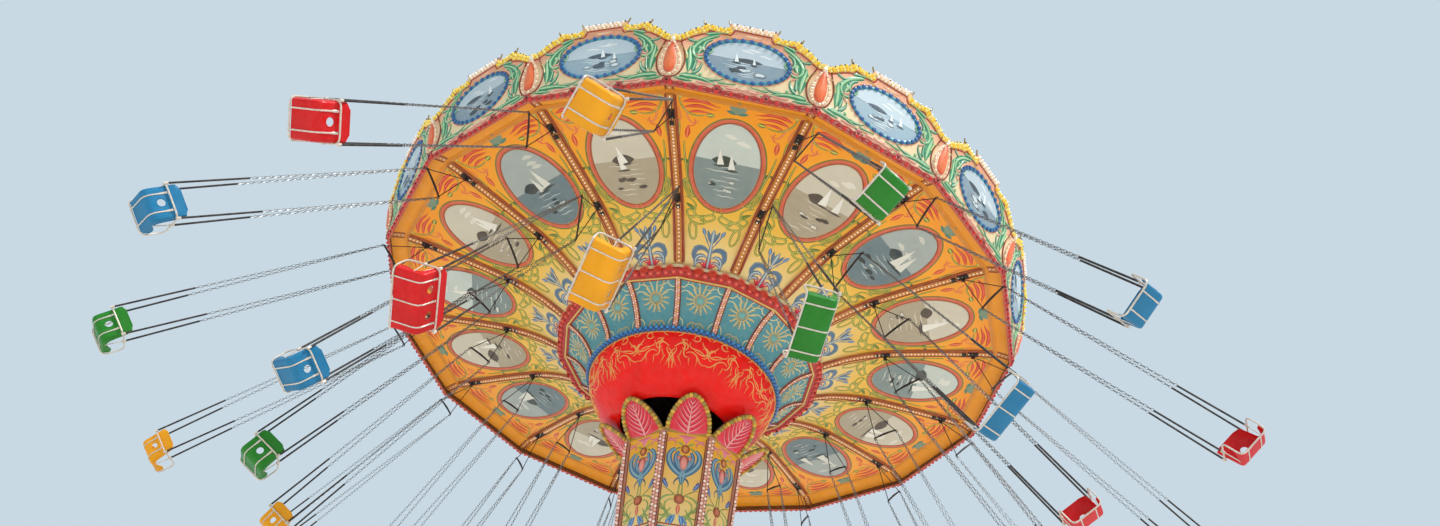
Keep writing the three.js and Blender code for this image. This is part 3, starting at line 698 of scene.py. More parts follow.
def seaPicture(stock, surface, y, halfX, halfY, tints, seed):
    # An invented sea view in an oval: sky, hills, water, small sails and rocks
    sky, cloud, hill, water, foam, sail = tints
    draw = random.Random(seed).uniform
    pad(stock, surface, oval(0, y, halfX, halfY, 40), water, 0.003, edge=0.001)

    def reachAt(rise):
        return halfX * math.sqrt(max(0.0, 1 - (rise / halfY) ** 2))

    horizon = draw(-0.05, 0.12) * halfY
    rows = []
    for i in range(15):
        rise = horizon + (halfY * 0.985 - horizon) * i / 14
        reach = reachAt(rise) * 0.985
        rows.append([surface(across, y + rise, 0.0045) for across in (-reach, 0, reach)])
    sheet(stock, rows, sky)
    for _ in range(3):
        rise = draw(0.25, 0.75) * halfY
        across = draw(-0.45, 0.30) * halfX
        path = [(across + t * halfX * 0.08, y + rise + math.sin(t) * 0.012) for t in range(6)]
        ribbon(stock, surface, path, halfY * 0.10, cloud, "leaf", 0.006, edge=0.005)
    width = draw(0.5, 0.8) * halfX
    start = draw(-0.75, -0.3) * halfX
    hillTop = [(start + width * t / 8, y + horizon + 0.01) for t in range(9)]
    ribbon(stock, surface, hillTop, halfY * 0.26, hill, "leaf", 0.007, edge=0.006)
    for i in range(7):
        rise = horizon - halfY * (0.12 + 0.115 * i)
        reach = reachAt(rise) * draw(0.35, 0.8)
        across = draw(-0.2, 0.2) * halfX
        wave = [(across + reach * (t / 6 - 0.5) * 1.4, rise + 0.008 * math.sin(2.2 * t)) for t in range(7)]
        if all((a / halfX) ** 2 + (b / halfY) ** 2 < 1 for a, b in wave):
            ribbon(stock, surface, [(a, y + b) for a, b in wave], 0.016, foam, "leaf", 0.006, edge=0.004)
    for _ in range(2):
        across = draw(-0.35, 0.45) * halfX
        size = draw(0.24, 0.42) * halfY
        foot = y + horizon - draw(0.05, 0.25) * halfY
        canvas = [(0, 0), (size * 0.55, size * 0.1), (size * 0.05, size * 1.5)]
        pad(stock, surface, [(across + a, foot + b) for a, b in canvas], sail, 0.009, edge=0.007)
        hull = [(across - size * 0.35 + size * 1.2 * t / 4, foot - 0.012) for t in range(5)]
        ribbon(stock, surface, hull, 0.036, hill, "leaf", 0.009, edge=0.007)
    for _ in range(5):
        across, rise = draw(-0.5, 0.5) * halfX, draw(-0.66, -0.34) * halfY
        size = draw(0.09, 0.19) * halfX
        rock = []
        for i in range(9):
            angle, reach = 2 * math.pi * i / 9, size * draw(0.7, 1.15)
            rock.append((across + reach * math.cos(angle), y + rise + 0.45 * reach * math.sin(angle)))
        pad(stock, surface, rock, hill, 0.011, foam if draw(0, 1) < 0.4 else hill, 0.008)


def makePictures(name, surfaceAt, spec, views, seed):
    stock = newStock()
    for k in range(bays):
        view = views[k % len(views)]
        seaPicture(stock, surfaceAt(k), spec["middle"], spec["halfWidth"], spec["halfLength"], view, seed + k)
    makePiece(name, stock, ["strokes"], "canopy")


sepia = ("d6cab2", "e8dfcc", "54463a", "b4a488", "e2d8c4", "f4ecdc")
# Sky, cloud, hill, water, foam and sail of each view
ceilingViews = [
    ("ccd2c6", "e6e2d2", "38443a", "84928e", "dcdacc", "f0eadc"), sepia,
    ("aab0a8", "d0cec0", "343e3e", "6c7e82", "c8ccc2", "e4e0d0"), sepia,
]
makeCeiling()
paintCeiling()
makePictures("ceilingPictures", ceilingSurface, ceiling["oval"], ceilingViews, 20)
print("ceiling done")


def lengthsAlong(path):
    # The way from a path's start to each of its points
    lengths = [0.0]
    for a, b in zip(path, path[1:]):
        lengths.append(lengths[-1] + (b - a).length)
    return lengths


# Canopy, curved pieces: a smooth curve through a profile of radius and height, walked by its length
def curveThrough(profile, steps=8):
    points = [Vector((r, z)) for r, z in profile]
    path = [points[0]]
    for i in range(len(points) - 1):
        a, b = points[i], points[i + 1]
        before = points[i - 1] if i else a * 2 - b
        after = points[i + 2] if i + 2 < len(points) else b * 2 - a
        for step in range(1, steps + 1):
            t = step / steps
            path.append(0.5 * (
                2 * a + (b - before) * t + (2 * before - 5 * a + 4 * b - after) * t ** 2
                + (3 * a - before - 3 * b + after) * t ** 3
            ))
    return path, lengthsAlong(path)


def curveAt(curve, v):
    # Radius, height and the normal that looks down and outwards, v metres along the curve
    path, lengths = curve
    v = min(max(v, 0.0), lengths[-1])
    i = next((n for n in range(1, len(path)) if lengths[n] >= v), len(path) - 1)
    share = (v - lengths[i - 1]) / (lengths[i] - lengths[i - 1])
    place = path[i - 1].lerp(path[i], share)
    along = (path[i] - path[i - 1]).normalized()
    return place.x, place.y, -along.y, along.x


def bayCurveSurface(curve, k):
    # Flat across each bay: x runs round the bay, y along the curve, which turns down and inwards
    ways = ribDirection(k + 0.5)

    def surface(x, y, lift):
        r, z, outwards, upwards = curveAt(curve, y)
        return placeOn(ways, r * bayCos + lift * outwards, x, z + lift * upwards)
    return surface


def ribCurveSurface(curve, k):
    ways = ribDirection(k)

    def surface(x, y, lift):
        r, z, outwards, upwards = curveAt(curve, y)
        return placeOn(ways, r - abs(x) * bayTan + lift * outwards, x, z + lift * upwards)
    return surface


def roundSurface(curve, reference, middle=0.0):
    # x is measured round the circle at the reference radius
    def surface(x, y, lift):
        r, z, outwards, upwards = curveAt(curve, y)
        return placeOn(outAndAcross(middle + x / reference), r + lift * outwards, 0, z + lift * upwards)
    return surface


# Ribs: ochre bars with dark red edges, a row of bulbs, and the lugs that the hangers turn in
chairRings = {"outer": 4.794, "inner": 3.328}
lug = {
    "halfWidth": 0.028, "thickness": 0.012, "offset": 0.0143, "below": 0.028,
    "plate": (0.085, 0.046, 0.007), "bolts": (0.062, 0.026), "box": (0.035, 0.032, 0.018), "boxBehind": 0.15,
}


def ribSurface(k):
    ways = ribDirection(k)
    return lambda x, y, lift: placeOn(ways, y, x, ceilingHeight(y) - lift)


def soffitSurface(k):
    # The boards between the ceiling's rim and the cornice, beside rib k
    ways = ribDirection(k)
    (r0, z0), (r1, z1) = rib["soffit"]

    def surface(x, y, lift):
        reach = y + abs(x) * bayTan
        return placeOn(ways, y, x, z0 + (z1 - z0) * (reach - r0) / (r1 - r0) - lift)
    return surface


def addBlock(stock, centre, axes, halves, slot):
    x, y, z = (axis * half for axis, half in zip(axes, halves))
    corners = ((-1, -1), (1, -1), (1, 1), (-1, 1))
    loft(stock, [[centre + x * a + y * b + z * c for a, b in corners] for c in (-1, 1)], slot=slot)


def addLug(stock, ring, k):
    # The cheek beside an eye, its foot plate on the rib, four bolts and the dark junction box behind them
    joint = joints[f"{ring}_{k + 1:02d}_swing"]
    toCanopy = canopyFrame.inverted()
    eye = toCanopy @ Vector(joint["pos_m"])
    across = -(toCanopy.to_3x3() @ Vector(joint["axis"])).normalized()
    along = across.cross(wayZ).normalized()
    over = along.cross(across)
    underside = ceilingHeight(chairRings[ring])
    top = underside - 0.020 - eye.z
    middle = eye + across * lug["offset"] + over * ((top - lug["below"]) / 2)
    halves = (lug["halfWidth"], lug["thickness"] / 2, (top + lug["below"]) / 2)
    addBlock(stock, middle, (along, across, over), halves, 1)
    out, side = ribDirection(k)
    plateAt = Vector((eye.x, eye.y, underside - rib["depth"] - 0.006))
    addBlock(stock, plateAt, (out, side, wayZ), lug["plate"], 1)
    boltX, boltY = lug["bolts"]
    for x, y in ((-boltX, -boltY), (-boltX, boltY), (boltX, -boltY), (boltX, boltY)):
        dome(stock, plateAt + out * x + side * y - wayZ * 0.005, -wayZ, 0.011, 0.012, slot=1, sides=6)
    boxAt = plateAt - out * lug["boxBehind"] - wayZ * 0.012
    addBlock(stock, boxAt, (out, side, wayZ), lug["box"], 1)
    cable = [boxAt + out * 0.03, boxAt + out * 0.08 - wayZ * 0.02, plateAt - side * 0.02]
    tube(stock, rounded(cable, 0.03), 0.006, 5, slot=1)
    tube(stock, [eye + across * 0.024, eye - across * 0.016], 0.009, 8, slot=1)


def makeRibs():
    # Slots: 0 paint, 1 dark steel, 2 bulbs
    stock = newStock()
    half, deep, bulb = rib["width"] / 2, rib["depth"], rib["bulb"]
    tints, spacing = bulb["tints"], bulb["spacing"]
    section = ((-1, 0), (-1, 0.8), (-0.8, 1), (0.8, 1), (1, 0.8), (1, 0))
    path = [(0, rib["start"] + (rib["end"] - rib["start"]) * i / 30) for i in range(31)]
    tail = [(0, radius) for radius, _ in rib["soffit"]]

    def paintEdges(surface, along, lift, foot):
        for edge in bothSides([(half - rib["edgeWidth"] / 2, y) for _, y in along]):
            ribbon(stock, surface, edge, rib["edgeWidth"], rib["edgePaint"], "line", lift, edge=foot)

    for k in range(bays):
        surface = ribSurface(k)
        bar = [[surface(half * x, y, deep * lift) for x, lift in section] for _, y in path]
        loft(stock, bar, rib["paint"])
        paintEdges(surface, path, deep + 0.012, deep * 0.7)
        beadsAlong(stock, surface, path, bulb["radius"], bulb["height"], tints, spacing, deep, 2)
        # the rib's colours go on over the soffit
        surface = soffitSurface(k)
        ribbon(stock, surface, tail, rib["width"] - 0.04, rib["paint"], "line", 0.008, edge=0.003)
        paintEdges(surface, tail, 0.014, 0.003)
        beadsAlong(stock, surface, tail, 0.015, 0.010, tints, spacing, 0.006, 2)
        for ring in chairRings:
            addLug(stock, ring, k)
        # the narrow edge along the rim
        low, high = (r * bayCos for r in rib["rim"])
        edge = [(low * bayTan * (i / 4 - 1), (low + high) / 2) for i in range(9)]
        ribbon(stock, ceilingSurface(k), edge, high - low, "e08a1c", "line", 0.012, edge=0.004)
    makePiece("ribBars", stock, ["carved", "darkSteel", "bulbs"], "canopy", ["ceiling_ribs"])


# Crown: the carved ring, the blue panels between beaded strips, the rings of blue beads and the bowl
crown = {
    "ring": [(2.100, -0.688), (2.195, -0.686), (2.280, -0.650), (2.290, -0.590), (2.290, -0.531)],
    "panel": [(2.215, -0.6156), (1.900, -0.7946), (1.680, -1.0346), (1.575, -1.2426)],
    "beads": {"inner": 1.515, "outer": 1.612, "top": -1.243, "bottom": -1.303},
    "bowl": [(1.560, -1.3032), (1.525, -1.4792), (1.400, -1.7142), (1.190, -1.9142), (0.915, -2.0792)],
    "wall": 0.024,
    "sunAt": 0.46, "rays": 14,
    "beadRows": [(1.606, -1.258, "2478b4"), (1.588, -1.290, "17508c")], "beadsInRow": 112,
    "shells": [(-0.310, 0.066), (-0.110, 0.080), (0.110, 0.080), (0.310, 0.066)],
}
crownCurve = curveThrough(crown["panel"])
bowlCurve = curveThrough(crown["bowl"])
gildLine, gildPale = "d4ae60", "efdca0"
# One crown panel: x from its middle line, y down the curve
crownStrokes = [
    (0.00, 0.30, 90, 0.34, [0, 0], 0.018, "stem", gildLine),
    (0.16, 0.08, 60, 0.24, [300, 900], 0.019, "stem", gildLine),
    (0.24, 0.14, 110, 0.26, [-400, -1000], 0.018, "stem", gildPale),
    (0.12, 0.90, 300, 0.24, [-500, -900], 0.018, "stem", gildLine),
    (0.20, 0.86, 260, 0.26, [300, 900], 0.018, "stem", gildPale),
    (0.05, 0.80, 80, 0.14, [500, 900], 0.016, "stem", gildLine),
]


def makeCrown():
    stock, painting = newStock(), newStock()
    length = crownCurve[1][-1]
    levels = [length * row / 18 for row in range(19)]
    spans = [(y, curveAt(crownCurve, y)[0] * bayCos * bayTan) for y in levels]
    middle = length * crown["sunAt"]
    for k in range(bays):
        surface = bayCurveSurface(crownCurve, k)
        plate(stock, surface, spans, 4, crown["wall"], "4a939c", -1)
        # a sun: rays as loops about a round heart, a fan of curls above it
        for radius, width in ((0.098, 0.022), (0.066, 0.012)):
            ovalRing(painting, surface, middle, radius, radius, width, "d8b25c", 0.006, 20)
        pad(painting, surface, oval(0, middle, 0.050, 0.050, 12), "6cb0a8", 0.006)
        for i, start in enumerate(oval(0, middle, 0.110, 0.110, crown["rays"])):
            for side, tint in ((-1, gildPale), (1, gildLine)):
                heading = 360 * i / crown["rays"] + side * 28
                ray = sweep(start, heading, 0.12, (-side * 480, -side * 480))
                ribbon(painting, surface, ray, 0.014, tint, "line", 0.006)
        for angle in (-62, -36, -12):
            x, y = 0.15 * math.sin(math.radians(angle)), middle - 0.17 * math.cos(math.radians(angle))
            for curl in bothSides(sweep((-x, y), 270 - angle, 0.22, (-150, 900))):
                ribbon(painting, surface, curl, 0.017, gildPale, "stem", 0.006)
        paintStrokes(painting, surface, crownStrokes)
    makePiece("crownPanels", stock, ["carved"], "canopy", ["crown_panels"], 30)
    makePiece("crownPainting", painting, ["strokes"], "canopy")


def makeCrownStrips():
    # Slots: 0 paint, 1 bulbs
    stock = newStock()
    half = 0.050
    section = ((-1, -0.012), (-1, 0.016), (0, 0.024), (1, 0.016), (1, -0.012))
    path = [(0, 0.02 + (crownCurve[1][-1] - 0.03) * i / 18) for i in range(19)]
    bulbTints = {-1: ["f0b49c", "f8e4d0", "e8b8a0"], 1: ["f6d8c8", "f0a890", "e8c060"]}
    for k in range(bays):
        surface = ribCurveSurface(crownCurve, k)
        loft(stock, [[surface(half * x, y, lift) for x, lift in section] for _, y in path], "d98a6a")
        for side, tints in bulbTints.items():
            edge = [(side * (half - 0.008), y) for _, y in path]
            ribbon(stock, surface, edge, 0.020, "7d1f1a", "line", 0.034, edge=0.010)
            column = [(side * 0.019, y + 0.010 * side) for _, y in path]
            beadsAlong(stock, surface, column, 0.0165, 0.018, tints, 0.043, 0.018)
    beads = crown["beads"]
    ring = [(beads["inner"], beads["top"]), (beads["outer"], beads["top"]),
            (beads["outer"], beads["bottom"]), (beads["inner"], beads["bottom"])]
    turned(stock, ring, 64, "1c4f78")
    for row, (radius, height, tint) in enumerate(crown["beadRows"]):
        for i in range(crown["beadsInRow"]):
            ways = outAndAcross(2 * math.pi * (i + row / 2) / crown["beadsInRow"])
            dome(stock, placeOn(ways, radius, 0, height), ways[0] - wayZ * 0.7, 0.036, 0.034, tint, 1, 7)
    makePiece("crownStrips", stock, ["carved", "bulbs"], "canopy", ["crown_strips"])


def makeCrownRing():
    # A moulded ring under a row of carved shells, their paler knobs and tips painted highlights, and the gilt
    # line below it
    stock = newStock()
    edge = crown["ring"][-1][0]
    reach = edge * bayCos * bayTan
    profile = crown["ring"] + [(2.080, -0.531)]
    for k in range(bays):
        ways = ribDirection(k + 0.5)
        out, across = ways

        def place(x, r, z):
            return placeOn(ways, r * bayCos, x, z)
        rings = [[place(x * r / edge, r, z) for r, z in profile] for x in (-reach, 0, reach)]
        loft(stock, rings, "b81f1c", caps=False)
        sheet(stock, [[place(x, 2.2915, z) for z in (-0.600, -0.534)] for x in (-reach, 0, reach)], "efdcae")
        for x, radius in crown["shells"]:
            dome(stock, place(x, 2.292, -0.622), out, radius, 0.018, "d8301c", 0, 12)
            # pale knobs round the top of each shell: painted highlights on the carving
            for turn in (-64, -32, 0, 32, 64):
                sine, cosine = math.sin(math.radians(turn)), math.cos(math.radians(turn))
                spot = place(x + radius * 0.78 * sine, 2.300, -0.622 + radius * 0.78 * cosine)
                dome(stock, spot, out, 0.019, 0.022, "f07058", 0, 7)
        count = 7
        for i in range(count):
            x = reach * (2 * (i + 0.5) / count - 1)
            foot = place(x, 2.256, -0.664)
            down = (out * 0.5 - wayZ).normalized()
            dome(stock, foot, down, 0.050, 0.026, "d8281e", 0, 9)
            # a paler boss on the tip of each carving: a painted highlight
            dome(stock, foot + down * 0.018, down, 0.022, 0.022, "f0705a", 0, 7)
            for side in (-1, 1):
                dome(stock, foot + across * (side * 0.052) - out * 0.012, down, 0.020, 0.020, "a01818", 0, 6)
        tube(stock, [place(x, 2.150, -0.694) for x in (-reach * 0.94, 0, reach * 0.94)], 0.014, 8, "e8c468")
    makePiece("crownRing", stock, ["carved"], "canopy", ["crown_ring"])


# Filigree in one eighth of the bowl: x from the cell's middle line, y down from the rim
bowlStrokes = [
    (0.03, 0.60, 250, 0.34, [500, -300, -200], 0.013, "stem"),
    (0.02, 0.50, 290, 0.26, [-700, -200, 900], 0.012, "stem"),
    (0.04, 0.44, 60, 0.16, [300, -600], 0.012, "comma"),
    (0.10, 0.40, 70, 0.18, [-500, 700], 0.011, "comma"),
    (0.04, 0.26, 330, 0.40, [-300, 700, 1500], 0.014, "stem"),
    (0.14, 0.12, 20, 0.36, [600, 200, -1300], 0.014, "stem"),
    (0.24, 0.34, 300, 0.42, [700, 300, -900], 0.013, "stem"),
    (0.30, 0.10, 70, 0.34, [-700, -1400], 0.013, "stem"),
    (0.36, 0.28, 10, 0.40, [400, -700, -1300], 0.013, "stem"),
    (0.46, 0.12, 100, 0.34, [-900, 300, 1200], 0.013, "stem"),
    (0.54, 0.34, 250, 0.36, [-500, -200, 1300], 0.012, "stem"),
    (0.22, 0.22, 150, 0.22, [900, 1500], 0.011, "stem"),
    (0.42, 0.38, 60, 0.14, [500, 0], 0.012, "comma"),
    (0.30, 0.40, 110, 0.14, [-500, 0], 0.012, "comma"),
    (0.16, 0.30, 95, 0.20, [300, -500], 0.012, "comma"),
    (0.58, 0.06, 180, 0.26, [900, -900], 0.011, "stem"),
    (0.08, 0.08, 0, 0.24, [-900, 900], 0.011, "stem"),
]


def makeBowl():
    # Slots: 0 gel coat, 1 gilt line
    stock = newStock()
    length = bowlCurve[1][-1]
    steps = 22
    outside = [curveAt(bowlCurve, length * i / steps) for i in range(steps + 1)]
    profile = [(r, z) for r, z, _, _ in outside]
    profile += [(r - crown["wall"] * 0.8, z + crown["wall"] * 0.5) for r, z, _, _ in reversed(outside)]
    profile[steps + 1] = (profile[steps][0] - crown["wall"], profile[steps][1])
    profile[-1] = (profile[0][0] - crown["wall"], profile[0][1])
    turned(stock, profile, 96)
    turned(stock, [(1.540, -1.304), (1.576, -1.306), (1.574, -1.322), (1.545, -1.322)], 96, "e0a850", 1)
    for cell in range(8):
        surface = roundSurface(bowlCurve, 1.5, firstRib + cell * 2 * math.pi / 8)
        for x, y, heading, run, bends, width, shape in bowlStrokes:
            for path in bothSides(sweep((x, y), heading, run, bends)):
                ribbon(stock, surface, path, width * 1.5, "f6b060", shape, 0.008, 1)
    makePiece("bowl", stock, ["redGel", "strokes"], "canopy", ["bowl"], 60)


makeRibs()
makeCrown()
makeCrownStrips()
makeCrownRing()
makeBowl()
print("crown done")


# Cornice: leaning boards with stepped tops, each with an oval picture, and a jewel over every joint
cornice = {
    "corner": 5.4045, "foot": -0.208, "low": 0.064, "lean": math.radians(15.6), "thick": 0.036,
    "top": [
        (0.0, 1.346), (0.346, 1.346), (0.362, 1.290), (0.395, 1.236), (0.540, 1.240), (0.702, 1.258),
        (0.722, 1.188), (0.790, 1.162), (0.868, 1.100), (0.950, 1.020), (1.022, 0.952),
    ],
    "valley": 0.942, "crest": 1.30, "trim": 0.104,
    "oval": {"middle": 0.715, "halfWidth": 0.565, "halfLength": 0.330},
    "jewel": {"foot": 0.255, "tip": 0.800, "half": 0.105},
    "jewelFrame": [
        (0.100, 0.915), (0.135, 0.800), (0.185, 0.660), (0.205, 0.520), (0.178, 0.360), (0.105, 0.235),
        (0.0, 0.186),
    ],
}
corniceFlat = cornice["corner"] * bayCos
leanSine, leanCosine = math.sin(cornice["lean"]), math.cos(cornice["lean"])


def corniceSurface(k):
    # x runs along the board from its middle, y up the board from the foot's level; the board starts at low
    ways = ribDirection(k + 0.5)
    return lambda x, y, lift: placeOn(
        ways, corniceFlat + y * leanSine + lift * leanCosine, x,
        cornice["foot"] + y * leanCosine - lift * leanSine,
    )


def boardHalf(y):
    return (corniceFlat + y * leanSine) * bayTan


def jointSurface(k):
    # The same across the joint of two boards over rib k: x is 0 at the joint
    left, right = corniceSurface(k - 1), corniceSurface(k)

    def surface(x, y, lift):
        return right(x - boardHalf(y), y, lift) if x > 0 else left(boardHalf(y) + x, y, lift)
    return surface


def boardTop():
    # Outline of the top edge from left to right, with the valleys at the joints
    side = cornice["top"]
    end = (boardHalf(cornice["valley"]), cornice["valley"])
    right = side + [end]
    return [(-x, y) for x, y in reversed(right)] + right[1:]


# Shares of a board's height and the colour of its ground there
corniceGround = [
    (0.0, "dfae88"), (0.09, "ecc8a0"), (0.26, "f0d4a4"), (0.60, "eec692"), (0.82, "eaa47c"), (1.0, "e28a66"),
]


def makeCorniceBoards():
    # Slots: 0 paint, 1 timber
    stock = newStock()
    tops, low, thick = boardTop(), cornice["low"], cornice["thick"]
    tints = [tint for _, tint in corniceGround] * len(tops)
    ground = []
    for x, top in tops:
        levels = [low + (top - low) * share for share, _ in corniceGround]
        ground.append([(x * boardHalf(y) / boardHalf(top) if abs(x) > 1.0 else x, y) for y in levels])
    foot = [(x * boardHalf(low) / boardHalf(top), low) for x, top in tops]
    for k in range(bays):
        surface = corniceSurface(k)
        for lift, slot, flip in ((0.0, 0, -1), (-thick, 1, 1)):
            sheet(stock, [[surface(x, y, lift) for x, y in row] for row in ground], tints, slot, flip)
        # the board's own top and bottom edges
        for edge in (tops, foot):
            sheet(stock, [[surface(x, y, lift) for lift in (0.0, -thick)] for x, y in edge], "c8503c")
    makePiece("corniceBoards", stock, ["carved", "timber"], "canopy", ["cornice_boards"], 20)


leafGreen, leafLight, leafTeal, rose, rosePale = "248a5e", "a8d4a0", "1a7a68", "e07f6c", "f8ccb8"
# One board: x from its middle, y from its foot, heading 90 up the board
corniceStrokes = [
    # leaves along the foot
    (0.90, 0.262, 176, 0.66, [-40, 120, -60], 0.120, "comma", leafGreen, leafLight),
    (0.74, 0.330, 150, 0.26, [-200, -300], 0.084, "comma", leafTeal, leafLight),
    (0.54, 0.290, 205, 0.28, [-300, -100], 0.070, "comma", leafTeal, leafLight),
    (0.99, 0.205, 176, 0.28, [60, 0], 0.070, "leaf", leafGreen, leafLight),
    (0.66, 0.205, 186, 0.46, [-80, 60], 0.056, "comma", rose, rosePale),
    (0.24, 0.195, 176, 0.34, [80, -160], 0.054, "comma", rose, rosePale),
    (0.36, 0.262, 190, 0.26, [-200, 100], 0.050, "comma", leafGreen, leafLight),
    # the tall leaves beside the jewel
    (0.800, 0.330, 96, 0.48, [-60, -60, 120], 0.130, "leaf", leafGreen, leafLight),
    (0.745, 0.380, 112, 0.32, [-200, 100], 0.070, "comma", leafTeal, leafLight),
    (0.850, 0.560, 84, 0.26, [-100, -300], 0.060, "comma", "b8c874", "e4e0a0"),
    # curls in the upper corner
    (0.480, 1.090, 332, 0.78, [-20, -140, -900], 0.096, "stem", leafGreen, leafLight),
    (0.560, 0.990, 335, 0.50, [-160, -500, -1300], 0.076, "stem", leafTeal, leafLight),
    (0.640, 0.860, 320, 0.22, [-300, -100], 0.100, "leaf", leafGreen, leafLight),
    (0.660, 1.070, 152, 0.32, [60, 100], 0.084, "comma", leafGreen, leafLight),
    (0.900, 0.930, 215, 0.24, [-300, -200], 0.070, "comma", leafTeal, leafLight),
    (0.420, 1.110, 186, 0.24, [-100, 200], 0.050, "comma", "dcae6a"),
    # rose sprays toward the oval's ends
    (0.745, 0.655, 150, 0.14, [200, 0], 0.052, "leaf", rose, rosePale),
    (0.745, 0.645, 190, 0.12, [-200, 0], 0.052, "leaf", rose, rosePale),
    (0.735, 0.675, 108, 0.13, [300, 0], 0.046, "leaf", rose, rosePale),
    (0.735, 0.620, 238, 0.13, [-300, 0], 0.046, "leaf", rose, rosePale),
    (0.14, 1.180, 180, 0.22, [60, -60], 0.040, "leaf", "f6cca4"),
]


def edgePath(below):
    # Follows the stepped top edge at a distance inside it, the upright edges of the steps too
    end = boardHalf(cornice["valley"])
    path = []
    for x, y in boardTop():
        inwards = 0.75 * below * min(1.0, (end - abs(x)) / 0.35)
        path.append((math.copysign(max(0.0, abs(x) - inwards), x), y - below))
    return path


def normalAt(surface, x, y):
    return surface(x, y, 1.0) - surface(x, y, 0.0)


def rosette(stock, surface, x, y, radius, petalTint, heartTint, petals=6):
    normal = normalAt(surface, x, y)
    for petal in oval(x, y, radius * 0.62, radius * 0.62, petals):
        dome(stock, surface(*petal, 0.004), normal, radius * 0.42, radius * 0.34, petalTint, 0, 6)
    dome(stock, surface(x, y, 0.004), normal, radius * 0.34, radius * 0.5, heartTint)


def jewelShape(foot, tip, half, count=22):
    # A drop with its point up
    outline = []
    for i in range(count):
        angle = 2 * math.pi * i / count - math.pi / 2
        rise = (1 + math.sin(angle)) / 2
        outline.append((half * math.cos(angle) * (1 - 0.62 * rise ** 2.2), foot + (tip - foot) * rise))
    return outline


corniceFrame = [(0.078, 0.018, "e08a62", 0.008), (0.033, 0.066, "3a93a8", 0.012)]
# Rows of bulbs on the boards' top edges: distance below the edge, radius, spacing, lift and aim
corniceBulbs = [
    (0.070, 0.023, 0.064, 0.004, (0.2, 1)), (0.026, 0.024, 0.064, 0.006, (0.3, 1)),
    (0.0, 0.024, 0.094, -0.018, (1, 0.2)),
]


def bulbsOnTop(stock, surface):
    # White on the crest and yellow on the flanks; the highest row has dark sockets between its bulbs
    for below, radius, spacing, lift, aim in corniceBulbs:
        crest, left, right = [], [], []
        for x, y in edgePath(below):
            part = crest if y > cornice["crest"] - below else (left if x < 0 else right)
            part.append((x, y))
        white, yellow = ["fdf6ea", "f8e2d4"], ["f6d030", "f8e47c"]
        for part, tints in ((crest, white), (left[::-1], yellow), (right, yellow)):
            beadsAlong(stock, surface, part, radius, radius * 1.5, tints, spacing, lift, aim=aim)
            if below == 0.0:
                beadsAlong(
                    stock, surface, part, 0.012, 0.0264, ["4a3418"], spacing, 0.0, aim=(1, 0.6), start=1.0,
                )


def addJewel(stock, surface):
    # The jewel over a joint, its lighter middle a painted highlight, in its frame of beads, and the rosette
    # under it
    foot, tip, half = (cornice["jewel"][word] for word in ("foot", "tip", "half"))
    middle = (0, (foot + tip) * 0.47)
    ground = jewelShape(foot - 0.050, tip + 0.06, half + 0.080)
    pad(stock, surface, ground, "f2d6b0", 0.026, centre=middle)
    # the drop's lighter middle tint is a painted highlight on the jewel
    pad(stock, surface, jewelShape(foot, tip, half), "d8461c", 0.046, "f07038", 0.022, middle)
    beadPath = jewelShape(foot - 0.034, tip + 0.016, half + 0.042, 40)
    beadsAlong(stock, surface, beadPath + beadPath[:1], 0.021, 0.022, ["f6e0bc", "e6b496"], 0.052, 0.024)
    pad(stock, surface, jewelShape(0.815, 0.935, 0.040, 14), "f8f0dc", 0.040)
    right = [(p.x, p.y) for p in curveThrough(cornice["jewelFrame"], 5)[0]]
    frameLine = right + [(-x, y) for x, y in reversed(right[:-1])]
    ribbon(stock, surface, frameLine, 0.026, "8f2a1e", "line", 0.020)
    rosette(stock, surface, 0, cornice["low"] + 0.072, 0.070, "b03028", "5a0e0c")


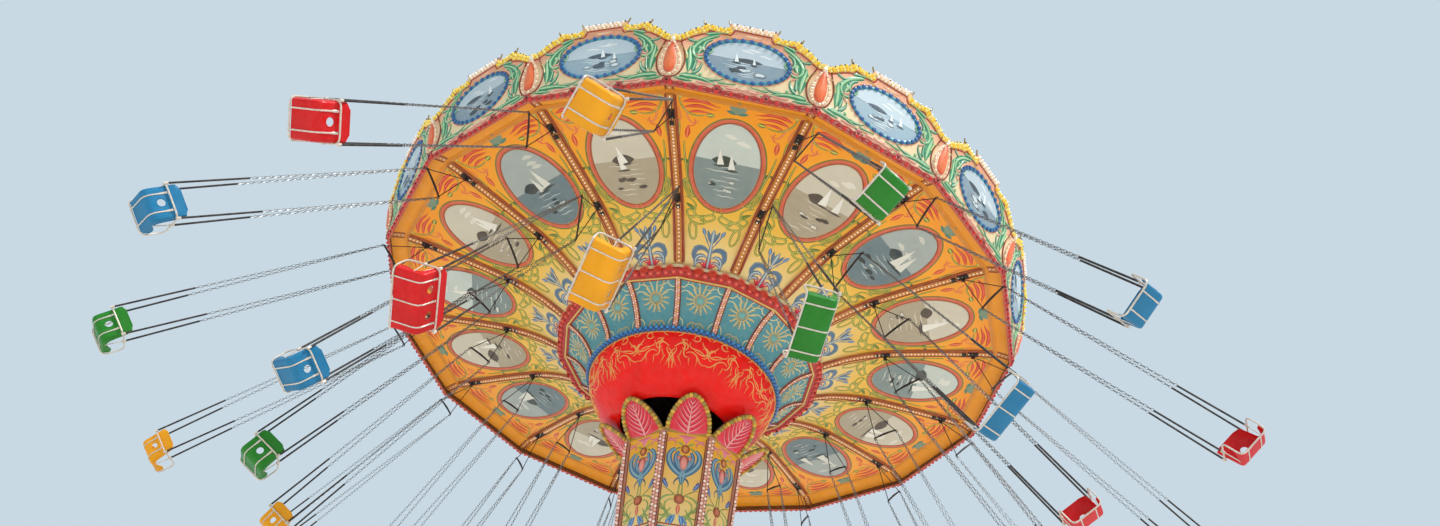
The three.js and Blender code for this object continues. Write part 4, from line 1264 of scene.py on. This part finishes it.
def paintCornice():
    # Slots: 0 carved paint, 1 bulbs
    stock = newStock()
    spec, low = cornice["oval"], cornice["low"]
    reach = boardHalf(low)
    wave = [
        (reach * (i / 30 - 1) * 0.995, low + 0.078 + 0.010 * math.cos(i * math.pi / 2.5)) for i in range(61)
    ]
    buds = (
        (0.700, 0.800, 0.034, leafGreen), (0.800, 0.790, 0.026, leafTeal), (0.62, 0.345, 0.026, leafGreen),
    )
    for k in range(bays):
        surface = corniceSurface(k)
        paintStrokes(stock, surface, corniceStrokes, lift=0.010)
        for x, y, size, tint in buds:
            for side in (-1, 1):
                pad(stock, surface, oval(side * x, y, size, size, 10), tint, 0.018, leafLight)
        # a trim line under the top edge and the gilt edge above it
        ribbon(stock, surface, edgePath(cornice["trim"]), 0.026, "a62c18", "line", 0.012)
        ribbon(stock, surface, edgePath(0.046), 0.088, "ecc070", "line", 0.006, edge=0.002)
        # the oval's frame, with blue beads on it
        frameOval(stock, surface, spec, corniceFrame)
        for i in range(30):
            angle = 2 * math.pi * (i + 0.5) / 30
            x = (spec["halfWidth"] + 0.040) * math.cos(angle)
            y = spec["middle"] + (spec["halfLength"] + 0.040) * math.sin(angle)
            dome(stock, surface(x, y, 0.008), normalAt(surface, x, y), 0.036, 0.030, "1b5a98")
        # the foot: a carved ribbon with a pale line along its ridge painted as its highlight, red bulbs on
        # the face and dark red rosettes
        ribbon(stock, surface, wave, 0.044, "c2483c", "line", 0.016)
        # the pale line is a painted highlight along the carved ribbon's ridge
        ribbon(stock, surface, wave, 0.014, "f0a890", "line", 0.022, edge=0.014)
        ribbon(stock, surface, [(-reach, low + 0.030), (reach, low + 0.030)], 0.052, "a8302a", "line", 0.010)
        foot = [(-reach, low + 0.024), (reach, low + 0.024)]
        beadsAlong(stock, surface, foot, 0.032, 0.0352, ["d0180e", "a80f0e"], 0.108, 0.004, aim=(-0.3, 1.0))
        for x in (-0.35, 0.35):
            rosette(stock, surface, x, low + 0.072, 0.070, "b03028", "5a0e0c")
        bulbsOnTop(stock, surface)
        for side in (-1, 1):
            for x, y in ((0.700, 1.256), (0.344, 1.344)):
                tip = [surface(side * (x + 0.012 * i), y + 0.008 * i * i - 0.002, -0.016) for i in range(4)]
                tube(stock, tip, 0.012, 6, "9a8036")
        addJewel(stock, jointSurface(k))
    makePiece("cornicePainting", stock, ["carved", "bulbs"], "canopy")


corniceViews = [
    ("bcc8ce", "dfe3e2", "36464f", "8498a4", "d2dadc", "ecf0ee"),
    ("c2d0d6", "e6e8e2", "425664", "98b0bc", "dde4e4", "f2f4f0"),
]
makeCorniceBoards()
paintCornice()
makePictures("cornicePictures", corniceSurface, cornice["oval"], corniceViews, 60)
print("cornice done")


# Tower: painted panels on eight sides, beaded strips on the corners, and a crown of carved leaves
tower = {
    "sides": 8, "panel": [(1.5003, 1.150), (7.120, 0.829)], "upper": [(7.300, 0.829), (10.018, 0.975)],
    "strip": {"proud": 0.042, "bulb": 0.025},
    "leaf": {
        "foot": 10.0383, "flat": 0.8808, "thick": 0.040, "lean": math.radians(48),
        "half": 0.325, "length": 0.65,
    },
    "turn": -94,
}
sideCos = math.cos(math.pi / tower["sides"])
sideTan = math.tan(math.pi / tower["sides"])
# The painted figures of the upper and the lower tower: top and scale of each
towerFigures = {"upper": [(9.985, 1.0), (8.45, 0.66)], "panel": [(7.02, 0.86), (5.60, 0.94), (4.06, 1.06)]}


def sideDirection(i):
    return outAndAcross(math.radians(tower["turn"] + 360 / tower["sides"] * i))


def radiusAt(ends, z):
    (z0, r0), (z1, r1) = ends
    return r0 + (r1 - r0) * (z - z0) / (z1 - z0)


def sideReach(ends, z):
    return radiusAt(ends, z) * sideCos * sideTan


def sideSurface(i, ends):
    # x from the side's middle line, y the height
    ways = sideDirection(i)
    return lambda x, y, lift: placeOn(ways, radiusAt(ends, y) * sideCos + lift, x, y)


seaBlue, skyBlue, oxide, fern, fernLight = "3f7592", "8ab0bc", "a8402c", "5f9048", "b4c878"
# One side of the upper tower: x from its middle line, y down from the top, heading 90 downwards
towerStrokes = [
    # flower scrolls in the upper corners
    (0.29, 0.07, 200, 0.20, [-400, -700], 0.044, "comma", "dc5a70", "f4a8a8"),
    (0.29, 0.13, 240, 0.16, [-500, -700], 0.040, "comma", "dc5a70", "f4a8a8"),
    (0.20, 0.06, 170, 0.13, [300, 500], 0.030, "comma", "e87888"),
    (0.30, 0.17, 95, 0.20, [-200, 300], 0.016, "stem", "a87a30"),
    (0.03, 0.17, 330, 0.12, [-200, 600], 0.030, "leaf", fern, fernLight),
    (0.07, 0.20, 20, 0.10, [300, 0], 0.026, "leaf", fern),
    # the blue heart: three thick strands each side, its neck and two dark curls
    (0.150, 0.235, 10, 0.64, [520, 170, 60], 0.104, "stem", seaBlue, skyBlue),
    (0.090, 0.270, 30, 0.47, [560, 180, 60], 0.084, "stem", "34658a", "7aa2b6"),
    (0.060, 0.330, 40, 0.34, [620, 160, 60], 0.070, "stem", "5d8a9a", skyBlue),
    (0.215, 0.360, 95, 0.20, [100, 200], 0.022, "leaf", "2c6ca4"),
    (0.025, 0.600, 92, 0.22, [0, 60], 0.060, "leaf", seaBlue, skyBlue),
    (0.045, 0.700, 50, 0.17, [-300, 1100], 0.034, "comma", "2f5a72"),
    (0.020, 0.780, 84, 0.24, [60, -60], 0.020, "stem", fern, fernLight),
    # blue tulips on bent stems
    (0.050, 1.020, 300, 0.26, [240, 60], 0.016, "stem", "7a8a3a"),
    (0.190, 0.890, 302, 0.17, [60, -60], 0.066, "leaf", "3a5fa0", "86a4d0"),
    (0.230, 0.800, 300, 0.07, [0, 0], 0.040, "leaf", "5a4a86"),
    # green scrolls beside the boss
    (0.070, 0.980, 20, 0.42, [-200, 420, 500], 0.028, "stem", fern, fernLight),
    (0.090, 1.060, 350, 0.34, [400, 600, 200], 0.024, "stem", "7a9a44", fernLight),
    (0.270, 1.140, 110, 0.30, [200, 100, -900], 0.028, "stem", fern, fernLight),
    (0.110, 1.200, 40, 0.26, [500, -1100], 0.024, "stem", "7a9a44"),
    (0.080, 1.300, 20, 0.26, [-100, 700], 0.026, "stem", fern, fernLight),
    # the drop under it and blue leaves at the foot of the figure
    (0.000, 1.110, 90, 0.19, [0, 0], 0.066, "leaf", "dc6446", "f2a080", "once"),
    (0.030, 1.290, 56, 0.20, [160, 60], 0.066, "leaf", "2f74b0", "8ab4d8"),
    (0.070, 1.310, 30, 0.18, [400, 100], 0.048, "leaf", "3a74a8", "8ab4d8"),
]


def paintFigure(stock, surface, top, scale):
    # The whole figure, its top at a height; scale under 1 makes it shorter
    def down(x, y, lift):
        return surface(x * scale, top - y * scale, lift)
    paintStrokes(stock, down, towerStrokes, lift=0.006)
    for y, halfX, halfY, tint, heart in (
        (0.225, 0.050, 0.056, "a8402c", "e08a3c"), (0.460, 0.060, 0.120, "e0584e", "f2988a"),
        (1.045, 0.064, 0.062, oxide, "cc7048"),
    ):
        pad(stock, down, oval(0, y, halfX, halfY, 14), tint, 0.020, heart)
        ovalRing(stock, down, y, halfX + 0.010, halfY + 0.010, 0.014, "8a2a20", 0.012, 18)
    for side in (-1, 1):
        pad(stock, down, oval(side * 0.085, 0.38, 0.034, 0.028, 10), "e8806a", 0.014)


def paintTower():
    stock = newStock()

    def crossLine(surface, ends, z, above, width, tint):
        reach = sideReach(ends, z) - 0.075
        ribbon(stock, surface, [(x, z + above) for x in (-reach, 0, reach)], width, tint, "line", 0.008)

    for i in range(tower["sides"]):
        for part, (low, high) in {"upper": (7.46, 9.98), "panel": (1.66, 7.08)}.items():
            ends = tower[part]
            surface = sideSurface(i, ends)
            for top, scale in towerFigures[part]:
                paintFigure(stock, surface, top, scale)
                if part == "panel":
                    crossLine(surface, ends, top, 0.03, 0.020, "b8402c")
            for edge in bothSides([(sideReach(ends, z) - 0.068, z) for z in (low, high)]):
                ribbon(stock, surface, edge, 0.014, "8a2f22", "line", 0.010)
        surface = sideSurface(i, tower["upper"])
        tail = [(-0.17, 0.0), (0.17, 0.0), (0.06, 0.05), (0.0, 0.16), (-0.06, 0.05)]
        pad(stock, surface, [(x, 9.995 - y) for x, y in tail], "ee7f93", 0.010)
        for z, tint in ((8.53, oxide), (8.485, "3a74a8")):
            crossLine(surface, tower["upper"], z, 0, 0.024, tint)
    makePiece("towerPainting", stock, ["strokes"], "tower")


def makeTowerStrips():
    # Slots: 0 paint, 1 bulbs; the strips themselves stay, and bulbs and edge beads stand on them
    stock = newStock()
    spec = tower["strip"]
    for ends, low, high, step in ((tower["upper"], 7.45, 9.99, 0.060), (tower["panel"], 1.65, 7.09, 0.078)):
        for i in range(tower["sides"]):
            for side in (-1, 1):
                ways = sideDirection(i + 0.5)
                facet, _ = sideDirection(i + 0.5 + side * 0.5)

                def place(x, z):
                    return placeOn(ways, radiusAt(ends, z) + spec["proud"] - x * sideTan, side * x, z)
                for n in range(int((high - low) / step)):
                    spot = place(0.026, low + step * (n + 0.5 + 0.25 * side))
                    tint = ("f4d4c4", "e8b09c", "f8e6d6", "dfa090")[(n + (side > 0)) % 4]
                    dome(stock, spot, facet, spec["bulb"], 0.022, tint, 1, 6)
                tube(stock, [place(0.048, z) for z in (low, high)], 0.010, 6, "7f2a1c")
    makePiece("towerBulbs", stock, ["carved", "bulbs"], "tower")


def leafSurface(i):
    # x from the leaf's middle rib, y from its foot, on the face that looks down and out
    ways = sideDirection(i)
    spec = tower["leaf"]
    sine, cosine = math.sin(spec["lean"]), math.cos(spec["lean"])
    face = spec["thick"] / 2

    def surface(x, y, lift):
        high = lift + face - 0.030 * (x / spec["half"]) ** 2 * (1 - y / spec["length"])
        reach = spec["flat"] + y * sine + high * cosine
        return placeOn(ways, reach, x, spec["foot"] + y * cosine - high * sine)
    return surface


def leafEdge(share):
    # Half width of a leaf at a share of its length: full at the foot, then rounded to a point
    past = max(0.0, (share - 0.10) / 0.90)
    return tower["leaf"]["half"] * max(0.0, 1 - past ** 2) ** 0.62


def makeLeaves():
    stock = newStock()
    spec = tower["leaf"]
    length = spec["length"]
    grid, tints = [], []
    for row in range(17):
        share = row / 16
        reaches = [leafEdge(share) * (2 * column / 8 - 1) * 0.98 for column in range(9)]
        grid.append([(x, length * share * 0.985) for x in reaches])
        tints += ["ec3c5e" if share < 0.1 else ("e80c38" if abs(x) > 0.12 else "ee2048") for x in reaches]
    right = [(leafEdge(n / 20), length * n / 20) for n in range(21)]
    outline = right + [(-x, y) for x, y in reversed(right[:-1])]
    for i in range(tower["sides"]):
        surface = leafSurface(i)
        for lift, flip in ((0.0, 1), (-spec["thick"], -1)):
            sheet(stock, [[surface(x, y, lift) for x, y in row] for row in grid], tints, 0, flip)
        ribbon(stock, surface, outline, 0.060, "5e4a1c", "line", 0.012, edge=-0.020)
        beadsAlong(stock, surface, outline, 0.040, 0.044, ["e2b43c", "c2962c", "a08a3a"], 0.066, 0.004, 0, 8)
        # the middle rib and feathered veins, with a dark red stroke beside each vein: painted shade in the
        # hollows between them
        ribbon(stock, surface, [(0, n / 20 * length) for n in range(18)], 0.036, "ffc4bc", "comma", 0.018)
        for n in range(7):
            y = 0.03 + 0.078 * n
            reach = leafEdge(min(1.0, (y + 0.12) / length)) * 0.98
            for vein in bothSides(sweep((0.004, y), 24 + 5.4 * n, min(0.34, reach * 1.02), (60, 160))):
                ribbon(stock, surface, vein, 0.024, "ffb4b4", "comma", 0.012)
                # the dark stroke beside the vein is painted shade in the carved hollow
                ribbon(stock, surface, [(a, b + 0.030) for a, b in vein], 0.018, "b40c30", "comma", 0.006)
    low, high = spec["foot"] - 0.018, spec["foot"] + 0.040
    radius = tower["upper"][1][1]
    collar = [(radius, low), (radius + 0.022, high), (radius - 0.075, high), (radius - 0.075, low)]
    turned(stock, collar, tower["sides"], "b8862a", turn=math.radians(tower["turn"] + 22.5))
    makePiece("leafCrown", stock, ["carved"], "tower", ["leaf_crown"], 50)


# Mouldings round the waist collar and the plinth: radius, height and thickness
baseMouldings = [
    (0.905, 7.135, 0.012), (0.905, 7.285, 0.012), (1.502, 0.40, 0.018), (1.582, 1.405, 0.014),
    (1.582, 1.485, 0.014),
]


def dressBase():
    # Mouldings and knobs on the waist collar and the plinth, and a framed rosette on each side of it
    stock = newStock()
    for radius, z, thick in baseMouldings:
        corners = [placeOn(sideDirection(i + 0.5), radius, 0, z) for i in range(tower["sides"])]
        tube(stock, corners, thick, 6, "d8a63c", closed=True)
    for i in range(tower["sides"]):
        ways = sideDirection(i)
        for radius, z, size, count in ((0.905, 7.21, 0.040, 5), (1.582, 1.445, 0.030, 11)):
            reach = radius * sideCos * sideTan * 0.86
            for n in range(count):
                spot = placeOn(ways, radius * sideCos, reach * (2 * n / (count - 1) - 1), z)
                dome(stock, spot, ways[0], size, size * 0.55, "e0b050" if n % 2 else "3a74a8", 0, 10)

        def panel(x, y, lift):
            return placeOn(ways, 1.50 * sideCos + lift, x, y)
        for reach, low, high, tint in ((0.50, 0.52, 1.28, "e0b050"), (0.44, 0.58, 1.22, "7a1712")):
            corners = [(-reach, low), (reach, low), (reach, high), (-reach, high), (-reach, low)]
            for a, b in zip(corners, corners[1:]):
                ribbon(stock, panel, [a, b], 0.022, tint, "line", 0.010)
        rosette(stock, panel, 0, 0.90, 0.16, "e8c060", "b8402c", 8)
        for heading, width in ((20, 0.05), (150, 0.04), (-20, 0.04)):
            for path in bothSides(sweep((0.18, 0.90), heading, 0.24, (300, -500))):
                ribbon(stock, panel, path, width, "e8c060", "comma", 0.012)
    makePiece("baseMouldings", stock, ["carved"], "tower")


# The nodes that stay as packed, and their finishes
packedFinishes = {
    "base_platform": "deck", "base_plinth": "plinth", "waist_collar": "plinth", "roof_cap": "plinth",
    "lower_cladding": "towerPanel", "upper_cladding": "towerPanel", "lower_corner_strips": "stripPaint",
    "upper_corner_strips": "stripPaint", "inner_mast": "mastPaint", "tilt_collar": "mastPaint",
    "rotor_hub": "mastPaint", "sweep_frame": "timber", "roof_shell": "canvas", "soffit_boards": "rimPaint",
}


def finishFrame():
    for nodeName, finishName in packedFinishes.items():
        if nodeName in frame["nodes"]:
            thing = frame["nodes"][nodeName]
            thing.data.materials.clear()
            thing.data.materials.append(finishes[finishName])


paintTower()
makeTowerStrips()
makeLeaves()
dressBase()
finishFrame()
print("tower done")


# Chairs: moulded buckets in tube cages, each hung by four chains from a spreader bar and two links.
# Heights here are from the middle of the bucket, which hangs a drop below the eye.
chair = {
    "drop": 4.857, "front": -0.199, "heel": 0.142, "pan": -0.129, "top": 0.288, "lean": 0.060,
    "heelBend": 0.082, "skin": 0.006, "fillet": 0.033, "topCorner": 0.073, "lip": 0.0065,
    "side": [
        (0.00, -0.203, -0.039), (0.12, -0.138, -0.024), (0.27, -0.052, -0.060), (0.38, 0.017, -0.077),
        (0.50, 0.073, -0.039), (0.62, 0.105, 0.043), (0.78, 0.133, 0.146), (0.92, 0.168, 0.241),
        (1.00, 0.191, 0.280),
    ],
    "hole": {"height": 0.030, "radius": 0.055},
    "tube": 0.011, "strap": 0.009, "armHeight": 0.140, "armFront": -0.220, "armBack": 0.208,
    "tubeFoot": -0.144,
    "chainAt": (0.0, 0.203), "sleeveLength": (1.02, 1.12), "sleeve": 0.014,
    "hanger": 0.62, "link": {"pitch": 0.057, "length": 0.074, "width": 0.034, "wire": 0.0050},
}
chairSizes = {
    "single": {"cage": 0.470, "spreader": 0.500, "holes": [0.0], "straps": [-0.116, 0.116]},
    "bench": {"cage": 0.785, "spreader": 0.700, "holes": [-0.16, 0.16], "straps": [-0.275, 0.0, 0.275]},
}
# The chairs that have turned on their chains, so that their riders face outwards: degrees by rib
chairTwist = {"outer": {0: 30, 1: 25, 15: 20}, "inner": {0: 26, 14: 18, 15: 28}}


def smoothAt(points, x):
    # Smooth curve through points of x, y, z, by x
    return (alongProfile([(p[0], p[1]) for p in points], x), alongProfile([(p[0], p[2]) for p in points], x))


def resampled(path, count):
    lengths = lengthsAlong(path)
    out = []
    for i in range(count + 1):
        want = lengths[-1] * i / count
        k = next((n for n in range(1, len(lengths)) if lengths[n] >= want - 1e-9), len(lengths) - 1)
        share = (want - lengths[k - 1]) / ((lengths[k] - lengths[k - 1]) or 1.0)
        out.append(path[k - 1].lerp(path[k], share))
    return out, lengths[-1]


def bucketSpine(count=22):
    corners = [
        (0, chair["front"], chair["pan"]), (0, chair["heel"], chair["pan"]),
        (0, chair["heel"] + chair["lean"], chair["top"]),
    ]
    return resampled(rounded(corners, chair["heelBend"], 8), count)


def bucketGrid(half):
    # Rows of points from the pan's front to the top of the back, each row from one edge to the other
    spine, length = bucketSpine()
    rows = []
    for i, low in enumerate(spine):
        share = i / (len(spine) - 1)
        edgeY, edgeZ = smoothAt(chair["side"], share)
        up = Vector((0, edgeY, edgeZ)) - low
        tall = up.length
        up.normalize()
        fromTop = length * (1 - share)
        corner = chair["topCorner"]
        inset = corner - math.sqrt(max(0.0, corner ** 2 - max(0.0, corner - fromTop) ** 2))
        wide = half - inset
        fillet = min(chair["fillet"], tall * 0.6)
        outer = []
        for step in range(5):
            angle = math.radians(22.5 * step)
            outer.append((wide - fillet + fillet * math.sin(angle), fillet * (1 - math.cos(angle))))
        outer += [(wide + 0.004, fillet + (tall - fillet) * 0.5), (wide + 0.006, tall)]
        flat = wide - fillet
        row = [Vector((-x, 0, 0)) + low + up * rise for x, rise in reversed(outer)]
        row += [Vector((flat * t, 0, 0)) + low for t in (-0.6, -0.2, 0.2, 0.6)]
        row += [Vector((x, 0, 0)) + low + up * rise for x, rise in outer]
        rows.append(row)
    return rows


def appliedMesh(thing):
    # The mesh of an object with its modifiers applied; the object itself goes
    bpy.context.view_layer.update()
    graph = bpy.context.evaluated_depsgraph_get()
    mesh = bpy.data.meshes.new_from_object(thing.evaluated_get(graph))
    bpy.data.objects.remove(thing)
    return mesh


def uprightRing(x, z, wide, tall, sides):
    # Lies across the y axis
    return ringAround(Vector((x, 0, z)), wayX, wayZ, wide, tall, sides)


def bucketShell(half, holes):
    rows = bucketGrid(half)
    grid, cutter = newStock(), newStock()
    sheet(grid, rows)
    thing = addObject("bucket", newMesh("bucket", grid["points"], grid["faces"]))
    thick = thing.modifiers.new("skin", "SOLIDIFY")
    thick.thickness = chair["skin"]
    thick.offset = 0.0
    hole = chair["hole"]
    for x in holes:
        ring = uprightRing(x, hole["height"], hole["radius"], hole["radius"], 24)
        loft(cutter, [[p + wayY * y for p in ring] for y in (0.40, 0.05)])
    cutThing = addObject("holeCutter", newMesh("holeCutter", cutter["points"], cutter["faces"]))
    cut = thing.modifiers.new("holes", "BOOLEAN")
    cut.operation = "DIFFERENCE"
    cut.object = cutThing
    shell = appliedMesh(thing)
    bpy.data.objects.remove(cutThing)
    rim = [row[-1] for row in rows] + list(reversed(rows[-1]))[1:]
    rim += [row[0] for row in reversed(rows)][1:] + rows[0][1:-1]
    return shell, rim


def backAt(z):
    # How far back the outside of the bucket's back is at a height
    share = (z - chair["pan"]) / (chair["top"] - chair["pan"])
    return chair["heel"] + chair["lean"] * share


def makeCage(stock, half, size, slot):
    tubeRadius, front, back = chair["tube"], chair["armFront"], chair["armBack"]
    arm, foot = chair["armHeight"], chair["tubeFoot"]
    corners = []
    for side in (1, -1):
        ends = [(side * half, back, arm), (side * half, front, arm + 0.006), (side * half, front, foot)]
        corners += ends if side == 1 else list(reversed(ends))
    tube(stock, rounded(corners, 0.085, 6, closed=True), tubeRadius, 8, slot=slot, closed=True)
    for side in (1, -1):
        strutFoot = Vector((side * (half - 0.012), 0.012, -0.090))
        tube(stock, [(side * half, -0.004, arm), strutFoot], 0.007, 6, slot=slot)
    # straps from the front tube under the pan and up the back, their ends flattened and bolted
    drop = chair["skin"] / 2 + chair["strap"] * 0.55
    for x in size["straps"]:
        path = [
            Vector((x, front + tubeRadius * 0.5, foot)), Vector((x, chair["front"], chair["pan"] - drop)),
        ]
        spine, _ = bucketSpine(14)
        for i in range(1, 15):
            along = (spine[i] - spine[i - 1]).normalized()
            out = Vector((0, along.z, -along.y))
            if spine[i].z < arm - 0.03:
                path.append(wayX * x + spine[i] + out * drop)
        path.append(Vector((x, backAt(arm) + drop + 0.004, arm - 0.012)))
        rings = []
        for i, point in enumerate(path):
            before, after = path[max(0, i - 1)], path[min(len(path) - 1, i + 1)]
            over = wayX.cross((after - before).normalized()).normalized()
            wide = chair["strap"] * (1.55 if i >= len(path) - 2 else 1.0)
            rings.append(ringAround(point, wayX, over, wide, chair["strap"] * 0.55, 8))
        loft(stock, rings, slot=slot)
        bolt = path[-1] + Vector((0, 0.004, -0.022))
        dome(stock, bolt, Vector((0, 1, -0.15)), 0.009, 0.008, slot=slot, sides=6)


def addLinks(stock, start, end, slot):
    spec = chair["link"]
    run = end - start
    along = run.normalized()
    side = along.orthogonal().normalized()
    over = along.cross(side)
    count = int(run.length / spec["pitch"])
    for i in range(count):
        middle = start + run * ((i + 0.5) / count)
        flat, thick = (side, over) if i % 2 else (over, side)
        rings = []
        for step in range(6):
            angle = math.pi * step / 3 + math.pi / 6
            reach = along * (math.cos(angle) * spec["length"] / 2)
            reach += flat * (math.sin(angle) * spec["width"] / 2)
            outwards, wire = reach.normalized(), spec["wire"]
            rings.append([
                middle + reach + outwards * (wire * math.cos(a)) + thick * (wire * math.sin(a))
                for a in (0, 2.1, 4.2)
            ])
        loft(stock, rings + rings[:1], slot=slot, caps=False)


def chairStock(size):
    # Slots: 0 bucket, 1 tube, 2 sleeve, 3 chain, 4 dark steel
    stock = newStock()
    half = size["cage"] / 2
    shell, rim = bucketShell(half - 0.020, size["holes"])
    addShape(stock, [v.co for v in shell.vertices], [tuple(f.vertices) for f in shell.polygons])
    bpy.data.meshes.remove(shell)
    tube(stock, rim, chair["lip"], 6, closed=True)
    hole = chair["hole"]
    for x in size["holes"]:
        path = uprightRing(x, hole["height"], hole["radius"], hole["radius"], 24)
        tube(stock, [Vector((p.x, backAt(p.z), p.z)) for p in path], 0.0075, 6, closed=True)
    makeCage(stock, half, size, 1)
    stock["points"] = [(p[0], p[1], p[2] - chair["drop"]) for p in stock["points"]]
    leanIn = (size["cage"] - size["spreader"]) / 2
    bar = -chair["hanger"] - 0.016
    for side in (1, -1):
        spreaderEnd = Vector((side * (half - leanIn), 0, bar - 0.030))
        for y, length in zip(chair["chainAt"], chair["sleeveLength"]):
            arm = Vector((side * half, y, chair["armHeight"] - chair["drop"]))
            along = (spreaderEnd - arm).normalized()
            top = arm + along * length
            tube(stock, [arm, top], chair["sleeve"], 8, slot=2)
            addLinks(stock, top - along * 0.01, spreaderEnd, 3)
            # clamp of the sleeve to the arm
            tube(stock, [arm - along * 0.022, arm + along * 0.03], 0.019, 8, slot=1)
        # shackle at the spreader's end
        ring = uprightRing(spreaderEnd.x, spreaderEnd.z + 0.012, 0.018, 0.026, 10)
        tube(stock, ring, 0.006, 6, slot=4, closed=True)
    reach = size["spreader"] / 2
    rings = []
    for i in range(13):
        t = 2 * i / 12 - 1
        place = Vector((reach * t, 0, bar + 0.012 * (1 - t * t)))
        deep = 0.017 - 0.005 * abs(t)
        rings.append([
            place + Vector((0, y * 0.008, z * deep)) for y, z in ((-1, -1), (1, -1), (1, 1), (-1, 1))
        ])
    loft(stock, rings, slot=4)
    # two links from the spreader's ends up to the eye
    for side in (1, -1):
        low = Vector((side * (reach - 0.02), 0, bar + 0.012))
        tube(stock, [low, Vector((side * 0.010, 0, -0.026))], 0.0075, 6, slot=4)
        for way in (wayY, -wayY):
            dome(stock, low, way, 0.013, 0.016, slot=4, sides=6)
    tube(stock, uprightRing(0, 0, 0.019, 0.019, 14), 0.0075, 8, slot=4, closed=True)
    return stock


def makeChairs():
    colours = list(chairColours)
    stocks = {kind: chairStock(size) for kind, size in chairSizes.items()}
    meshes = {}

    def chairMesh(kind, colour, twist):
        # One mesh for each pattern in use; all below the neck of the eye is turned by the twist
        if (kind, colour, twist) not in meshes:
            turn = Matrix.Rotation(math.radians(twist), 3, "Z")
            stock = dict(stocks[kind])
            stock["points"] = [turn @ Vector(p) if p[2] < -0.045 else Vector(p) for p in stock["points"]]
            finishNames = [colour, "cageTube", "sleeve", "zinc", "darkSteel"]
            base = makePiece("pattern", stock, finishNames, "tower")
            meshes[kind, colour, twist] = base.data
            bpy.data.objects.remove(base)
        return meshes[kind, colour, twist]

    for ring in ("outer", "inner"):
        for k in range(bays):
            body = f"{ring}_{k + 1:02d}"
            joint = joints[body + "_swing"]
            axis = Vector(joint["axis"]).normalized()
            plumb = math.radians(-min(joint["range_deg"]))
            up = Matrix.Rotation(plumb, 3, axis) @ wayZ
            behind = -axis
            out = behind.cross(up)
            turn = Matrix((out, behind, up)).transposed().to_4x4()
            placed = Matrix.Translation(Vector(joint["pos_m"])) @ turn
            node = next(name for name in frame["nodes"] if name.startswith(ring) and name.endswith(body[-3:]))
            kind = "bench" if "bench" in node else "single"
            colour = colours[k % len(colours)]
            name = f"{ring}Chair{k + 1:02d}" if kind == "single" else f"{ring}Bench{k + 1:02d}"
            mesh = chairMesh(kind, colour, chairTwist[ring].get(k, 0))
            placePiece(name, mesh, body, placed, [node])
    for kind, stock in stocks.items():
        print("chair", kind, sum(len(f) - 2 for f in stock["faces"]), "triangles")


makeChairs()
print("chairs done")


# Lights and the floor
light = {"sky": "c9d9e4", "skyStrength": 1.0, "sunStrength": 3.1, "sunTurn": (38, 12, 28), "sunSize": 12}
floor = {"half": 45, "below": 0.002, "colour": "eae6df"}


def addLights():
    world = bpy.data.worlds.new("studio")
    bpy.context.scene.world = world
    world.use_nodes = True
    background = world.node_tree.nodes["Background"]
    background.inputs["Color"].default_value = linear(light["sky"])
    background.inputs["Strength"].default_value = light["skyStrength"]
    sun = bpy.data.lights.new("sun", "SUN")
    sun.energy = light["sunStrength"]
    sun.angle = math.radians(light["sunSize"])
    addObject("sun", sun).rotation_euler = [math.radians(angle) for angle in light["sunTurn"]]


def addFloor():
    half = floor["half"]
    corners = [(-half, -half, 0), (half, -half, 0), (half, half, 0), (-half, half, 0)]
    mesh = newMesh("floor", corners, [(0, 1, 2, 3)])
    finish, _ = newFinish("paleFloor")
    mesh.materials.append(shade(finish, {"Base Color": linear(floor["colour"]), "Roughness": 0.8}, {}))
    thing = addObject("floor", mesh)
    thing.location.z = -floor["below"]


addLights()
addFloor()
bpy.context.scene.view_settings.view_transform = "Standard"
